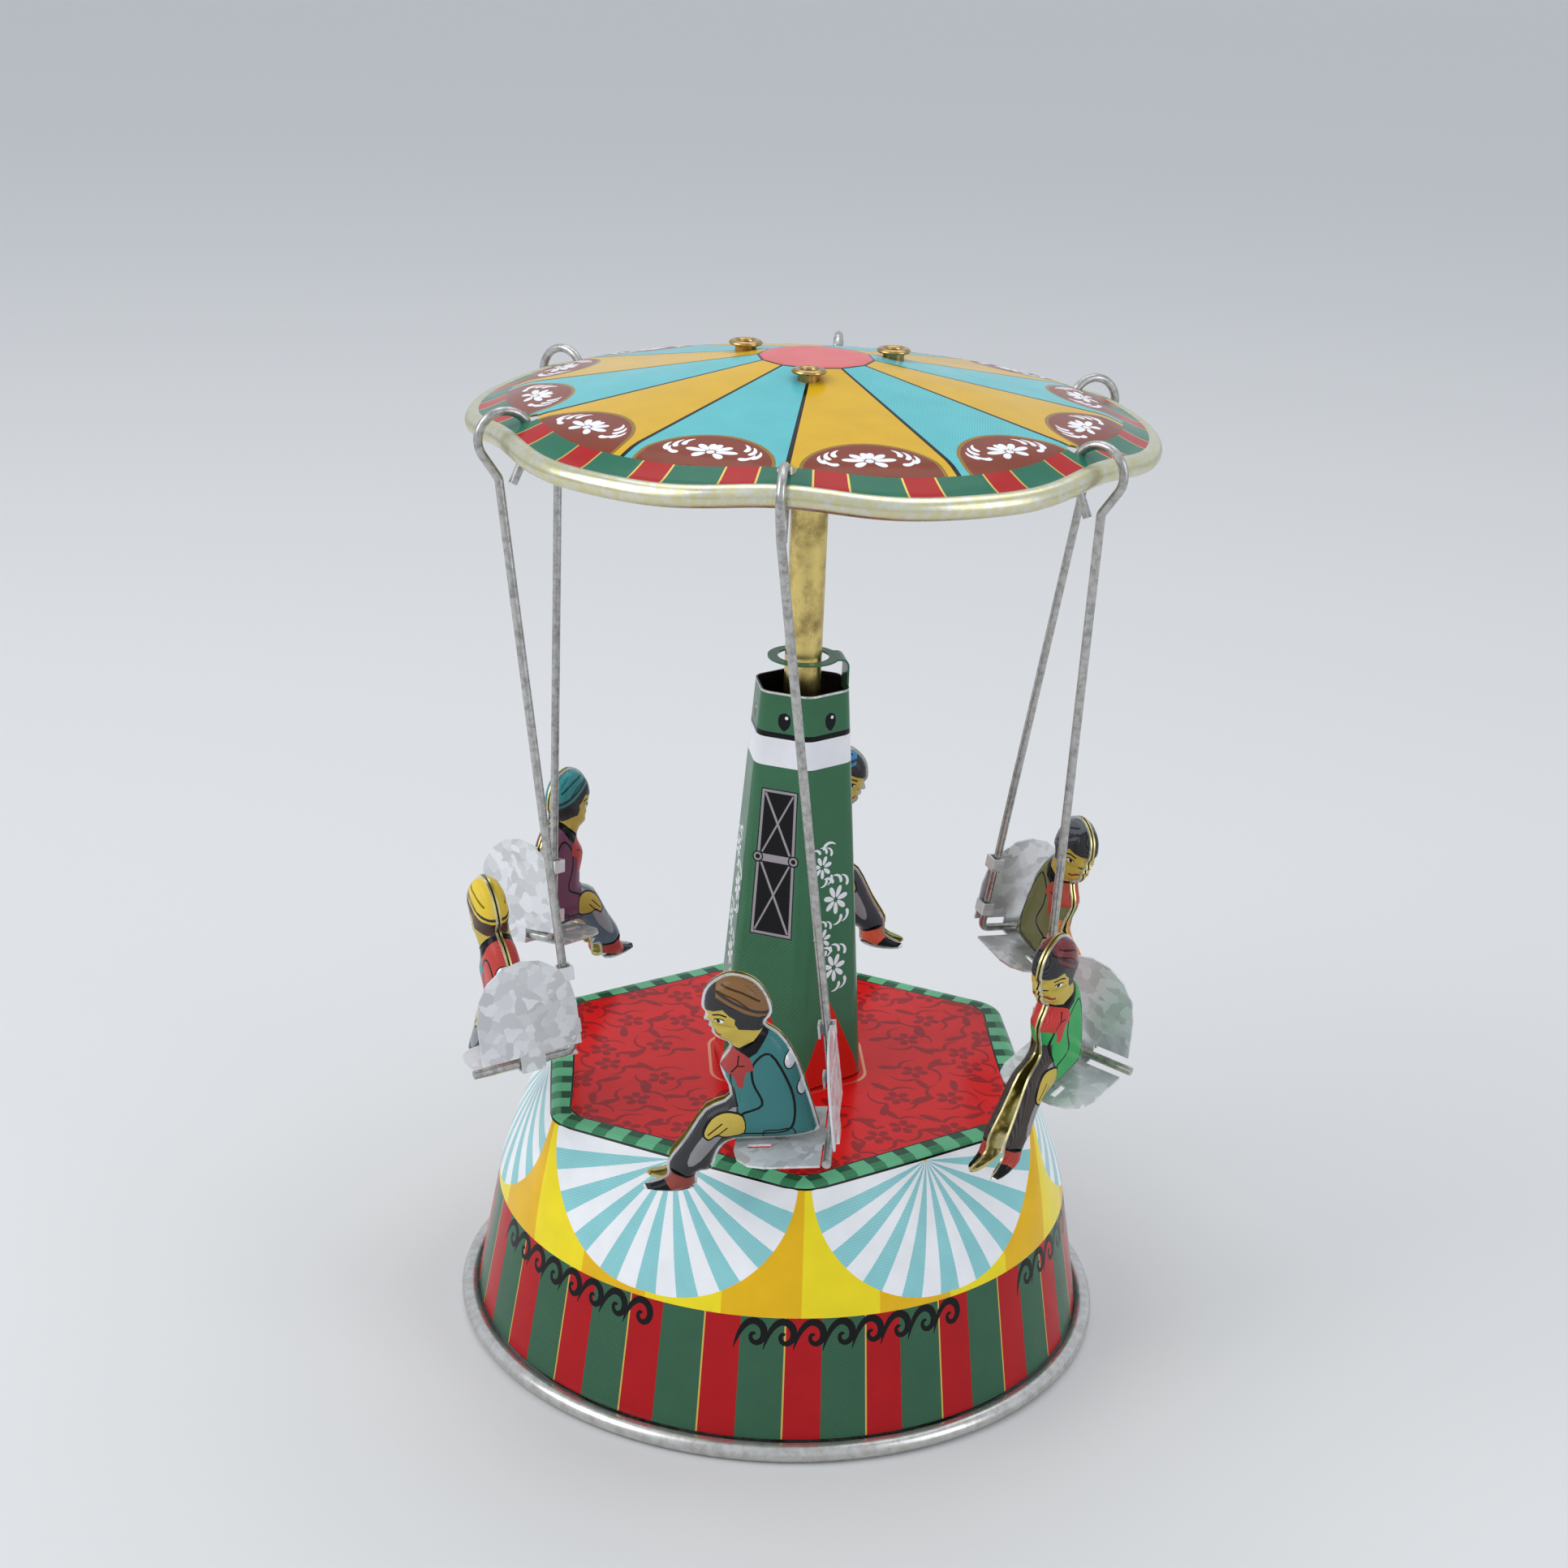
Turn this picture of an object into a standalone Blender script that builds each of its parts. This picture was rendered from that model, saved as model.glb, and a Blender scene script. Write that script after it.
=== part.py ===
"""Tin litho swing carousel: a clockwork base, a tower, and a canopy that carries six swings.

The base is one drawn tinplate shell over a spring motor. The motor turns a vertical spindle
that runs up the tower and carries the canopy. Six wire hangers hook over the canopy's rolled
edge, and each holds a tin seat with a rider made of two stamped half shells.

Frame: metres, +Z up, origin at the centre of the base on the surface it stands on. A corner
of the deck points to -Y, which is the front. Azimuths are measured from -Y towards +X.
"""

import math

import bmesh
import bpy
from mathutils import Matrix, Vector

MM = 0.001

# --- clearances and stock -------------------------------------------------------------
GAP = 0.3  # between pieces that touch on the real toy
TIN = 0.4  # litho tinplate
SIDES_WIRE = 1  # bevel resolution of the wires: six sides

# --- base shell -----------------------------------------------------------------------
BASE_RADIUS = 55.0  # to the outside of the rolled bead
BEAD_RADIUS = 1.5  # of the bead's own section
SKIRT_LEAN = 6.4  # how far the skirt leans in, from the bead's outside to its top
SKIRT_TOP_RADIUS = BASE_RADIUS - SKIRT_LEAN  # where it meets the sloping panels
SKIRT_TOP = 22.7
DECK_TOP = 44.0
DECK_INSET = 9.3
DECK_CORNER = BASE_RADIUS - DECK_INSET  # of the hexagon before its corners are rounded
DECK_ROUNDING = 6.0
DECK_FILLET = 1.3
SLOPE_POWER = 1.35  # how late the round skirt turns into the hexagon
DECK_HOLE_PLAY = 3.0  # round the spindle
COVER_LIP = 2.0

# --- spindle and tube -----------------------------------------------------------------
SPINDLE_RADIUS = 1.2
TUBE_RADIUS = 3.0
TUBE_WALL = 0.4
TUBE_IN_TOWER = 49.5  # how deep the tube reaches into the tower
PLUG_LENGTH = 4.0
PLUG_INSET = 1.0  # from each end of the tube
DECK_HOLE = SPINDLE_RADIUS + DECK_HOLE_PLAY

# --- tower ----------------------------------------------------------------------------
TOWER_LENGTH = 67.5
TOWER_TOP = DECK_TOP + TOWER_LENGTH
TOWER_FOOT_CORNER = 13.6
TOWER_TOP_CORNER = 8.3
TOWER_ROUNDING = 2.6
TOWER_TURN = 5.0  # the tower stands a little turned against the deck, degrees
RING_RISE = 4.5  # the guide ring that steadies the tube stands this far over the tower
RING_HEIGHT = TOWER_TOP + RING_RISE
RING_PLAY = 1.2
RING_WIDTH = 1.6
RING_LIP = 0.05  # the ring is this much thicker than its strap, on each side
RING_HOLE = TUBE_RADIUS + RING_PLAY
RING_OUTER = RING_HOLE + RING_WIDTH
TAB_WIDTH = 5.0
TAB_LAP = 1.5  # how far the ring's strap reaches down the tower's wall
TUBE_BOTTOM = TOWER_TOP - TUBE_IN_TOWER

# --- canopy ---------------------------------------------------------------------------
ROTOR_PHASE = -9.0  # azimuth of the first hanger at rest, degrees
SWINGS = 6
CANOPY_RISE = 52.9
CANOPY_APEX = TOWER_TOP + CANOPY_RISE
CROWN_RADIUS = 8.8  # the flat middle
EYELET_CIRCLE = 13.5
EYELET_FLANGE = 2.7
EYELET_BORE = 1.3
EYELET_BARREL = 1.7
EYELET_RIM = 0.5  # height of the rolled rims
RIM_BEAD = 1.7  # radius of the rolled edge
RIM_NOTCH = 50.8  # radius to the bead's centre, at a notch
LOBE_REACH = 1.8
RIM_LOBE = RIM_NOTCH + LOBE_REACH  # and at a lobe
RIM_WIDTH = 6.8
CANOPY_SHOULDER = RIM_NOTCH - RIM_WIDTH  # where the facets end and the lobed rim begins
SHOULDER_DROP = 6.3  # all drops are from the apex
LOBE_DROP = 11.1
NOTCH_DROP = 9.9
SHOULDER_HEIGHT = CANOPY_APEX - SHOULDER_DROP
RIM_LOBE_HEIGHT = CANOPY_APEX - LOBE_DROP
RIM_NOTCH_HEIGHT = CANOPY_APEX - NOTCH_DROP
NOTCH_SHARPNESS = 2.0

# --- hanger wire ----------------------------------------------------------------------
WIRE_RADIUS = 0.7
HOOK_SLACK = 1.75  # between the rolled edge and the loop
HOOK_RADIUS = RIM_BEAD + WIRE_RADIUS + HOOK_SLACK  # to the wire's centre
HOOK_HOLE_PLAY = 0.7
HOOK_HOLE_RADIUS = WIRE_RADIUS + HOOK_HOLE_PLAY
HOOK_END_ANGLE = 200.0  # degrees round the loop, 0 outwards and 90 up
HOOK_START_ANGLE = -32.0
HOOK_STUB = (-1.3, 0.0, -6.9)  # free end, from the pivot: outwards, back, up
DOG_LEG = (0.9, 0.0, -6.0)  # where the loop turns into the long leg
SEAT_RISE = 13.7  # from the deck's level up to the seat rod
SEAT_ROD = (-8.0, 10.8, DECK_TOP + SEAT_RISE - RIM_NOTCH_HEIGHT)  # where the leg bends
BEND_RADIUS = 1.6

# --- seat -----------------------------------------------------------------------------
SEAT_TIN = 0.35
SEAT_HALF_WIDTH = 8.25
ROD_FROM_EDGE = 1.1  # the leg stands this far inside the backrest's inner edge
ROD_STUB = 1.3  # the rod's end stands this far outside the outer edge
BACK_HEIGHT = 17.0
BACK_STRAIGHT = 8.5
SEAT_LENGTH = 15.6
SEAT_CORNER = 5.0
STRIP_HALF_WIDTH = 2.0
WINDOW_TOP = 1.4  # the backrest's lower edge beside the middle strip
WINDOW_DEPTH = 2.2  # how far the windows reach under the rod, into the seat plate
STRIP_LAP = 0.8  # overlap of the strip with the backrest
UPPER_CLIP = 12.0
LOWER_CLIP = 3.2
CLIP_HEIGHT = 2.2

# --- riders ---------------------------------------------------------------------------
RIDER_DEPTH = 2.6  # of each stamped half
RIDER_TIN = 0.3
RIDER_ROUNDING = 1.2  # how far the stamped side slopes in from the outline
LEG_SPLAY = 1.5
HIP = 12.5
THIGH_TOP = 7.2
TAB_MIDDLE = 10.8
TAB_HALF = 1.5
TAB_TOP = 2.6
TAB_BELOW = 0.7  # the tabs' ends stand this far under the seat
# Side view of a rider, forward and up from the seat rod, clockwise from the crown of the cap.
RIDER_OUTLINE = (
    (12.2, 27.8), (9.2, 26.6), (7.5, 24.0), (7.0, 21.0), (8.2, 19.2), (6.4, 17.6),
    (4.9, 15.2), (3.6, 11.2), (1.9, 2.4), (2.2, 0.2), (7.9, -0.7), (14.6, -0.7),
    (17.2, -2.4), (18.6, -5.6), (20.7, -6.1), (21.4, -8.6), (24.4, -9.3), (28.7, -8.6),
    (29.1, -7.4), (25.6, -6.2), (25.2, -3.7), (22.2, 0.0), (18.6, 4.9), (14.6, 7.1),
    (15.7, 12.4), (13.8, 15.7), (16.2, 18.4), (17.4, 22.6), (16.7, 25.2), (14.8, 27.0),
)

# --- motor ----------------------------------------------------------------------------
PLATE = 0.8
FRONT_PLATE_Y = -14.0
BACK_PLATE_Y = 20.0
PLATE_LEFT = -36.5
PLATE_RIGHT = 29.5
PLATE_BOTTOM = 4.5
PLATE_OVER_PINION = 2.1  # from the spindle pinion's middle up to the plates' top edge
PILLAR_RADIUS = 1.5
PILLAR_SHOULDER = 0.9
PILLAR_INSET = 3.2
PILLAR_RIVET = 0.5
STEP_DROP = 6.5  # from the spindle pinion's middle down to the bearing step
STEP_HALF_WIDTH = 3.5
STEP_REACH = 2.4
STEP_LUG = 3.0
STRAP_HALF_WIDTH = 4.0
MODULE = 1.2
PRESSURE_ANGLE = math.radians(25.0)
ADDENDUM = 0.8  # in modules
DEDENDUM = 1.05
BACKLASH = 0.18  # mm taken off each tooth's width at the pitch circle
PINION_LEAVES = 8
CROWN_TEETH = 24
GREAT_TEETH = 24
GOVERNOR_TEETH = 24
ARBOR_RADIUS = 1.0
ARBOR_END = 0.6  # the arbors' ends stand this far outside the plates
WINDING_ARBOR_RADIUS = 1.6
ARBOR_HEIGHT = 20.0  # all three arbors lie at this height
CROWN_PITCH_Y = MODULE * PINION_LEAVES / 2
CROWN_BACK_Y = 7.8
CROWN_RIM = 0.6  # half the width of the crown's toothed rim
GREAT_WHEEL_Y = 10.5
GOVERNOR_WHEEL_Y = 15.2
WHEEL_WIDTH = 1.2
LEAF_LENGTH = 2.6
SPRING_FRONT_Y = -11.0
SPRING_WIDTH = 11.0
SPRING_INNER = 2.6
SPRING_OUTER = 12.0
SPRING_TURNS = 4.0
SPRING_STRIP = 0.45
RATCHET_RADIUS = 4.0
RATCHET_TEETH = 12
RATCHET_Y = 8.4
FAN_RADIUS = 8.0
FAN_FRONT_Y = -10.5
FAN_WIDTH = 9.5
FAN_HUB = 1.0  # thickness of the hub's wall
FAN_VANE = 0.3  # half the thickness of a vane
KEY_COLLAR = 3.4  # radius of the collar's rim
COLLAR_LIP = 0.8
COLLAR_RIM = 0.6
COLLAR_LENGTH = 5.0
COLLAR_STAND = 1.9  # the rim stands this far off the shell where it curves away
KEY_REACH = 3.2  # from the shell to the key's hub
KEY_HUB_RADIUS = 2.6
KEY_HUB_LENGTH = 5.0
KEY_BOW_HALF = 9.0
KEY_BOW_DEPTH = 8.5
KEY_BOW_WAIST = 1.2
KEY_BOW_TIN = 0.6  # half the bow's thickness

# --- colours: name, base colour, roughness, metallic ------------------------------------
FINISHES = {
    "base_litho": ((0.62, 0.03, 0.03, 1), 0.3, 0.0),
    "tower_litho": ((0.03, 0.14, 0.07, 1), 0.3, 0.0),
    "canopy_litho": ((0.75, 0.45, 0.05, 1), 0.3, 0.0),
    "bright_tin": ((0.7, 0.7, 0.7, 1), 0.35, 1.0),
    "steel_wire": ((0.5, 0.5, 0.5, 1), 0.35, 1.0),
    "brass": ((0.75, 0.6, 0.3, 1), 0.3, 1.0),
    "spring_steel": ((0.25, 0.28, 0.35, 1), 0.3, 1.0),
}
# the riders' jackets, in the order of the swings
JACKETS = ((0.05, 0.25, 0.25, 1), (0.05, 0.22, 0.1, 1), (0.2, 0.2, 0.08, 1),
           (0.75, 0.5, 0.08, 1), (0.2, 0.04, 0.12, 1), (0.55, 0.04, 0.03, 1))
for figure, jacket in enumerate(JACKETS, 1):
    FINISHES[f"rider_litho_{figure}"] = (jacket, 0.3, 0.0)

HEX = math.radians(60)
PIVOT_AZIMUTHS = [math.radians(ROTOR_PHASE) + HEX * number for number in range(SWINGS)]
SPINDLE_PINION_HEIGHT = ARBOR_HEIGHT + MODULE * CROWN_TEETH / 2
PLATE_TOP = SPINDLE_PINION_HEIGHT + PLATE_OVER_PINION
WINDING_X = -MODULE * (GREAT_TEETH + PINION_LEAVES) / 2
GOVERNOR_X = MODULE * (GOVERNOR_TEETH + PINION_LEAVES) / 2
SHEET_TOP = DECK_TOP + GAP  # the tower stands this high
SEAT_PLATE_TOP = -WIRE_RADIUS - GAP  # from the rod's axis
BACKREST_FRONT = WIRE_RADIUS + GAP


# --- making meshes ----------------------------------------------------------------------
def clear_scene():
    for thing in list(bpy.data.objects):
        bpy.data.objects.remove(thing, do_unlink=True)


def material(name):
    found = bpy.data.materials.get(name)
    if found:
        return found
    colour, roughness, metallic = FINISHES[name]
    made = bpy.data.materials.new(name)
    made.use_nodes = True
    shader = made.node_tree.nodes["Principled BSDF"]
    shader.inputs["Base Color"].default_value = colour
    shader.inputs["Roughness"].default_value = roughness
    shader.inputs["Metallic"].default_value = metallic
    return made


def add_object(name, data, finish, parent=None, place=None):
    """Puts a mesh or a curve in the scene. place is its matrix in the world, in metres."""
    made = bpy.data.objects.new(name, data)
    bpy.context.scene.collection.objects.link(made)
    if finish:
        data.materials.clear()
        data.materials.append(material(finish))
    if parent:
        made.parent = parent
        made.matrix_parent_inverse = parent.matrix_world.inverted()
    if place is not None:
        made.matrix_world = place
    return made


def mesh_from(bm, name, smooth_angle=35):
    """Finishes a bmesh made in millimetres and returns it as a mesh in metres."""
    bmesh.ops.remove_doubles(bm, verts=bm.verts, dist=1e-5)
    bmesh.ops.recalc_face_normals(bm, faces=bm.faces)
    bmesh.ops.scale(bm, vec=(MM, MM, MM), verts=bm.verts)
    mesh = bpy.data.meshes.new(name)
    bm.to_mesh(mesh)
    bm.free()
    mesh.shade_smooth()
    mesh.set_sharp_from_angle(angle=math.radians(smooth_angle))
    return mesh


def swept(columns, closed_profile=True):
    """A shell from profiles placed round the axis: columns[j][k] is point k at azimuth j.

    A closed profile makes a ring. An open one starts and ends on the axis.
    """
    bm = bmesh.new()
    grid = [[bm.verts.new(point) for point in column] for column in columns]
    count = len(grid[0])
    last = count if closed_profile else count - 1
    for here, there in zip(grid, grid[1:] + grid[:1]):
        for k in range(last):
            following = (k + 1) % count
            bm.faces.new((here[k], here[following], there[following], there[k]))
    bmesh.ops.remove_doubles(bm, verts=bm.verts, dist=1e-5)
    bmesh.ops.dissolve_degenerate(bm, edges=bm.edges, dist=1e-6)
    return bm


def polar(radius, azimuth, height):
    return Vector((radius * math.sin(azimuth), -radius * math.cos(azimuth), height))


def turned(profile, steps=32, closed_profile=True):
    """A body of revolution about Z from (radius, height) points."""
    azimuths = [2 * math.pi * step / steps for step in range(steps)]
    return swept([[polar(r, a, z) for r, z in profile] for a in azimuths], closed_profile)


def prism(outline, low, high, holes=()):
    """An outline in X and Y extruded from low to high, with round holes (x, y, radius, steps)."""
    bm = bmesh.new()
    loops = [outline] + [circle(*hole) for hole in holes]
    edges = []
    for loop in loops:
        ring = [bm.verts.new((x, y, low)) for x, y in loop]
        edges += [bm.edges.new(pair) for pair in zip(ring, ring[1:] + ring[:1])]
    bmesh.ops.triangle_fill(bm, use_beauty=True, use_dissolve=False, edges=edges)
    made = bmesh.ops.extrude_face_region(bm, geom=list(bm.faces))
    top = [part for part in made["geom"] if isinstance(part, bmesh.types.BMVert)]
    bmesh.ops.translate(bm, vec=(0, 0, high - low), verts=top)
    return bm


def circle(x, y, radius, steps=12):
    turns = [2 * math.pi * step / steps for step in range(steps)]
    return [(x + radius * math.cos(turn), y + radius * math.sin(turn)) for turn in turns]


def box(low, high):
    bm = bmesh.new()
    bmesh.ops.create_cube(bm, size=1)
    size = [b - a for a, b in zip(low, high)]
    middle = [(a + b) / 2 for a, b in zip(low, high)]
    bmesh.ops.scale(bm, vec=size, verts=bm.verts)
    bmesh.ops.translate(bm, vec=middle, verts=bm.verts)
    return bm


def moved(bm, matrix):
    bmesh.ops.transform(bm, matrix=matrix, verts=bm.verts)
    return bm


def along_y(bm, x=0.0, y=0.0, z=0.0):
    """Turns a piece made about Z to lie about Y: its height becomes its depth."""
    turn = Matrix.Translation((x, y, z)) @ Matrix.Rotation(math.radians(-90), 4, "X")
    return moved(bm, turn)


def combined(base, tools, operation="UNION"):
    """Joins or cuts bmeshes, all in millimetres, and returns one mesh in metres."""
    target = add_object("working", mesh_from(base, "working"), None)
    helpers = []
    for number, tool in enumerate(tools):
        helper = add_object(f"tool_{number}", mesh_from(tool, "tool"), None)
        helper.hide_render = True
        helper.display_type = "WIRE"
        change = target.modifiers.new(f"{operation}_{number}", "BOOLEAN")
        change.operation = operation
        change.object = helper
        helpers.append(helper)
    graph = bpy.context.evaluated_depsgraph_get()
    mesh = bpy.data.meshes.new_from_object(target.evaluated_get(graph))
    for thing in helpers + [target]:
        bpy.data.objects.remove(thing, do_unlink=True)
    return mesh


def millimetres(mesh):
    """A mesh in metres as a bmesh in millimetres."""
    bm = bmesh.new()
    bm.from_mesh(mesh)
    bmesh.ops.scale(bm, vec=(1 / MM, 1 / MM, 1 / MM), verts=bm.verts)
    return bm


# --- shapes -----------------------------------------------------------------------------
def hexagon_radius(azimuth, corner, rounding):
    """Radius of a hexagon with rounded corners, one of them at azimuth 0."""
    turn = abs((azimuth + HEX / 2) % HEX - HEX / 2)
    centre = corner - rounding / math.cos(HEX / 2)
    tangent = math.atan2(rounding * 0.5, centre + rounding * math.cos(HEX / 2))
    if turn < tangent:
        across = centre * math.sin(turn)
        return centre * math.cos(turn) + math.sqrt(rounding**2 - across**2)
    return corner * math.cos(HEX / 2) / math.cos(HEX / 2 - turn)


def hexagon_azimuths(offsets):
    """Azimuths round six corners: each offset in degrees on both sides of every corner."""
    around = sorted({-offset for offset in offsets} | set(offsets) | {30.0})
    return [HEX * corner + math.radians(offset) for corner in range(6) for offset in around]


def shell_radius(azimuth, height, inset=0.0):
    """Outside of the base shell: a cone below, turning into the deck's hexagon above."""
    bottom = BASE_RADIUS - 2 * BEAD_RADIUS
    if height <= SKIRT_TOP:
        share = (height - 2 * BEAD_RADIUS) / (SKIRT_TOP - 2 * BEAD_RADIUS)
        return bottom + (SKIRT_TOP_RADIUS - bottom) * share - inset
    share = ((height - SKIRT_TOP) / (DECK_TOP - SKIRT_TOP)) ** SLOPE_POWER
    corner = hexagon_radius(azimuth, DECK_CORNER, DECK_ROUNDING)
    return SKIRT_TOP_RADIUS + (corner - SKIRT_TOP_RADIUS) * share - inset


def base_profile(azimuth):
    """One radial section through the shell: the wall, the rolled bead and the wall's inside."""
    wall = [SKIRT_TOP, (SKIRT_TOP + DECK_TOP) / 2, DECK_TOP - DECK_FILLET]
    edge = hexagon_radius(azimuth, DECK_CORNER, DECK_ROUNDING)
    outside = [(DECK_HOLE, DECK_TOP), (edge - 2 * DECK_FILLET, DECK_TOP)]
    outside += [(edge - DECK_FILLET * 0.7, DECK_TOP - DECK_FILLET * 0.25)]
    outside += [(shell_radius(azimuth, height), height) for height in reversed(wall)]
    middle = BASE_RADIUS - BEAD_RADIUS
    flat = BEAD_RADIUS * math.tan(math.radians(22.5))
    bead = [(middle + flat, 2 * BEAD_RADIUS), (BASE_RADIUS, BEAD_RADIUS + flat)]
    bead += [(BASE_RADIUS, BEAD_RADIUS - flat), (middle + flat, 0.0), (middle - flat, 0.0)]
    inner = BASE_RADIUS - 2 * BEAD_RADIUS
    bead += [(inner - TIN, BEAD_RADIUS - flat)]
    inside = [(shell_radius(azimuth, height, TIN), height) for height in wall]
    inside += [(edge - 2 * DECK_FILLET, DECK_TOP - TIN), (DECK_HOLE, DECK_TOP - TIN)]
    start = [(shell_radius(azimuth, 2 * BEAD_RADIUS + 0.2), 2 * BEAD_RADIUS + 0.2)]
    return outside + start + bead + inside


def canopy_rim(azimuth):
    """Radius and height of the rolled edge's centre: notches at the hangers, lobes between."""
    share = ((1 + math.cos(SWINGS * (azimuth - PIVOT_AZIMUTHS[0]))) / 2) ** NOTCH_SHARPNESS
    radius = RIM_LOBE + (RIM_NOTCH - RIM_LOBE) * share
    return radius, RIM_LOBE_HEIGHT + (RIM_NOTCH_HEIGHT - RIM_LOBE_HEIGHT) * share


def canopy_height(radius):
    """Height of the canopy's outside over the facets."""
    share = max(radius - CROWN_RADIUS, 0) / (CANOPY_SHOULDER - CROWN_RADIUS)
    return CANOPY_APEX - (CANOPY_APEX - SHOULDER_HEIGHT) * share


def canopy_profile(azimuth):
    radius, height = canopy_rim(azimuth)
    top = [(0.0, CANOPY_APEX)]
    top += [(r, canopy_height(r)) for r in (CROWN_RADIUS, CANOPY_SHOULDER * 0.6, CANOPY_SHOULDER)]
    roll = []
    for turn in (95, 35, -25, -85, -145):
        angle = math.radians(turn)
        roll.append((radius + RIM_BEAD * math.cos(angle), height + RIM_BEAD * math.sin(angle)))
    fold = [(radius - RIM_BEAD * 0.75, height + RIM_BEAD * 0.75)]
    under = [(r, z - TIN) for r, z in reversed(top)]
    return top + roll + fold + under


def gear_outline(teeth):
    """Points of a spur gear, with a tooth centred on +X."""
    pitch = MODULE * teeth / 2
    base = pitch * math.cos(PRESSURE_ANGLE)
    involute = math.tan(PRESSURE_ANGLE) - PRESSURE_ANGLE
    half = math.pi / (2 * teeth) - BACKLASH / 2 / pitch
    flank = []
    for radius in (pitch - DEDENDUM * MODULE, pitch, pitch + ADDENDUM * MODULE):
        angle = math.acos(min(1.0, base / radius))
        flank.append((radius, half + involute - (math.tan(angle) - angle)))
    points = []
    for tooth in range(teeth):
        middle = 2 * math.pi * tooth / teeth
        for radius, turn in flank:
            points.append((radius, middle - turn))
        for radius, turn in reversed(flank):
            points.append((radius, middle + turn))
    return [(radius * math.cos(turn), radius * math.sin(turn)) for radius, turn in points]


def gear(teeth, width, bore, turn=0.0):
    """A spur gear about Z, its lower face at z = 0, turned by a share of a tooth."""
    bm = prism(gear_outline(teeth), 0, width, [(0, 0, bore, 12)] if bore else ())
    return moved(bm, Matrix.Rotation(2 * math.pi * turn / teeth, 4, "Z"))


def bent(corners, radius, steps=4):
    """A path through corners with each inner corner rounded."""
    path = [corners[0]]
    for before, corner, after in zip(corners, corners[1:], corners[2:]):
        back = (before - corner).normalized()
        on = (after - corner).normalized()
        reach = radius / math.tan(back.angle(on) / 2)
        start, end = corner + back * reach, corner + on * reach
        for step in range(steps + 1):
            share = step / steps
            first = start.lerp(corner, share)
            path.append(first.lerp(corner.lerp(end, share), share))
    return path + [corners[-1]]


def wire_curve(name, points, radius):
    """A round wire along points given in millimetres."""
    curve = bpy.data.curves.new(name, "CURVE")
    curve.dimensions = "3D"
    curve.bevel_depth = radius * MM
    curve.bevel_resolution = SIDES_WIRE
    curve.use_fill_caps = True
    spline = curve.splines.new("POLY")
    spline.points.add(len(points) - 1)
    for target, point in zip(spline.points, points):
        target.co = (*(point * MM), 1.0)
    return curve


def joint_empty(name, place, parent=None):
    """An empty on a joint's axis, which the moving piece's objects hang from."""
    made = bpy.data.objects.new(name, None)
    bpy.context.scene.collection.objects.link(made)
    made.empty_display_size = 5 * MM
    if parent:
        made.parent = parent
        made.matrix_parent_inverse = parent.matrix_world.inverted()
    made.matrix_world = place
    bpy.context.view_layer.update()
    return made


def fixed(name, mesh, finish, parent=None):
    """A piece whose mesh is already in the world's place."""
    return add_object(name, mesh, finish, parent, Matrix.Identity(4))


# --- base and tower -----------------------------------------------------------------------
def build_base():
    azimuths = hexagon_azimuths((0.0, 3.6, 11.0, 20.0))
    shell = swept([[polar(r, a, z) for r, z in base_profile(a)] for a in azimuths])
    wall = shell_back(ARBOR_HEIGHT)
    hole = along_y(prism(circle(0, 0, KEY_COLLAR - COLLAR_LIP + GAP, 16), 0, 20),
                   WINDING_X, wall - 10, ARBOR_HEIGHT)
    fixed("base_shell", combined(shell, [hole], "DIFFERENCE"), "base_litho")
    # the cover is a disc with a turned-up edge that grips inside the skirt
    outer = BASE_RADIUS - 2 * BEAD_RADIUS - TIN - 2 * GAP
    low = BEAD_RADIUS
    profile = [(0, low), (outer, low), (outer, low + COVER_LIP), (outer - TIN, low + COVER_LIP),
               (outer - TIN, low + TIN), (0, low + TIN)]
    fixed("bottom_cover", mesh_from(turned(profile, 36, closed_profile=False), "cover"), "bright_tin")


def shell_back(height):
    """Where the back of the shell crosses the winding arbor, along Y."""
    reach = SKIRT_TOP_RADIUS
    for _ in range(20):
        azimuth = math.atan2(WINDING_X, -math.sqrt(reach**2 - WINDING_X**2))
        reach = shell_radius(azimuth, height)
    return math.sqrt(reach**2 - WINDING_X**2)


def tower_radius(azimuth, height, inset=0.0):
    share = (height - SHEET_TOP) / (TOWER_TOP - SHEET_TOP)
    corner = TOWER_FOOT_CORNER + (TOWER_TOP_CORNER - TOWER_FOOT_CORNER) * share
    rounding = TOWER_ROUNDING * corner / TOWER_TOP_CORNER
    return hexagon_radius(azimuth, corner, rounding) - inset


def build_tower():
    azimuths = hexagon_azimuths((0.0, 9.0, 18.0))
    columns = []
    for azimuth in azimuths:
        column = [polar(tower_radius(azimuth, z), azimuth, z) for z in (SHEET_TOP, TOWER_TOP)]
        column += [polar(tower_radius(azimuth, z, TIN), azimuth, z)
                   for z in (TOWER_TOP, SHEET_TOP)]
        columns.append(column)
    wall = swept(columns)
    side = tower_radius(math.radians(90), TOWER_TOP)
    # the strap stands up from the wall and folds over to the ring; its outline is in X and -Z
    foot, middle = TOWER_TOP - TAB_LAP, RING_OUTER - RING_WIDTH / 2
    fold = [(middle, RING_HEIGHT - TIN), (side - TIN, RING_HEIGHT - TIN), (side - TIN, foot),
            (side, foot), (side, RING_HEIGHT), (middle, RING_HEIGHT)]
    strap = prism([(x, -z) for x, z in fold], 0, TAB_WIDTH)
    low, high = RING_HEIGHT - TIN - RING_LIP, RING_HEIGHT + RING_LIP
    ring = turned([(RING_HOLE, low), (RING_HOLE, high), (RING_OUTER, high), (RING_OUTER, low)], 28)
    tools = [along_y(strap, y=-TAB_WIDTH / 2), ring]
    tower = combined(wall, tools)
    tower.transform(Matrix.Rotation(math.radians(TOWER_TURN), 4, "Z"))
    fixed("tower", tower, "tower_litho")


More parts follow.
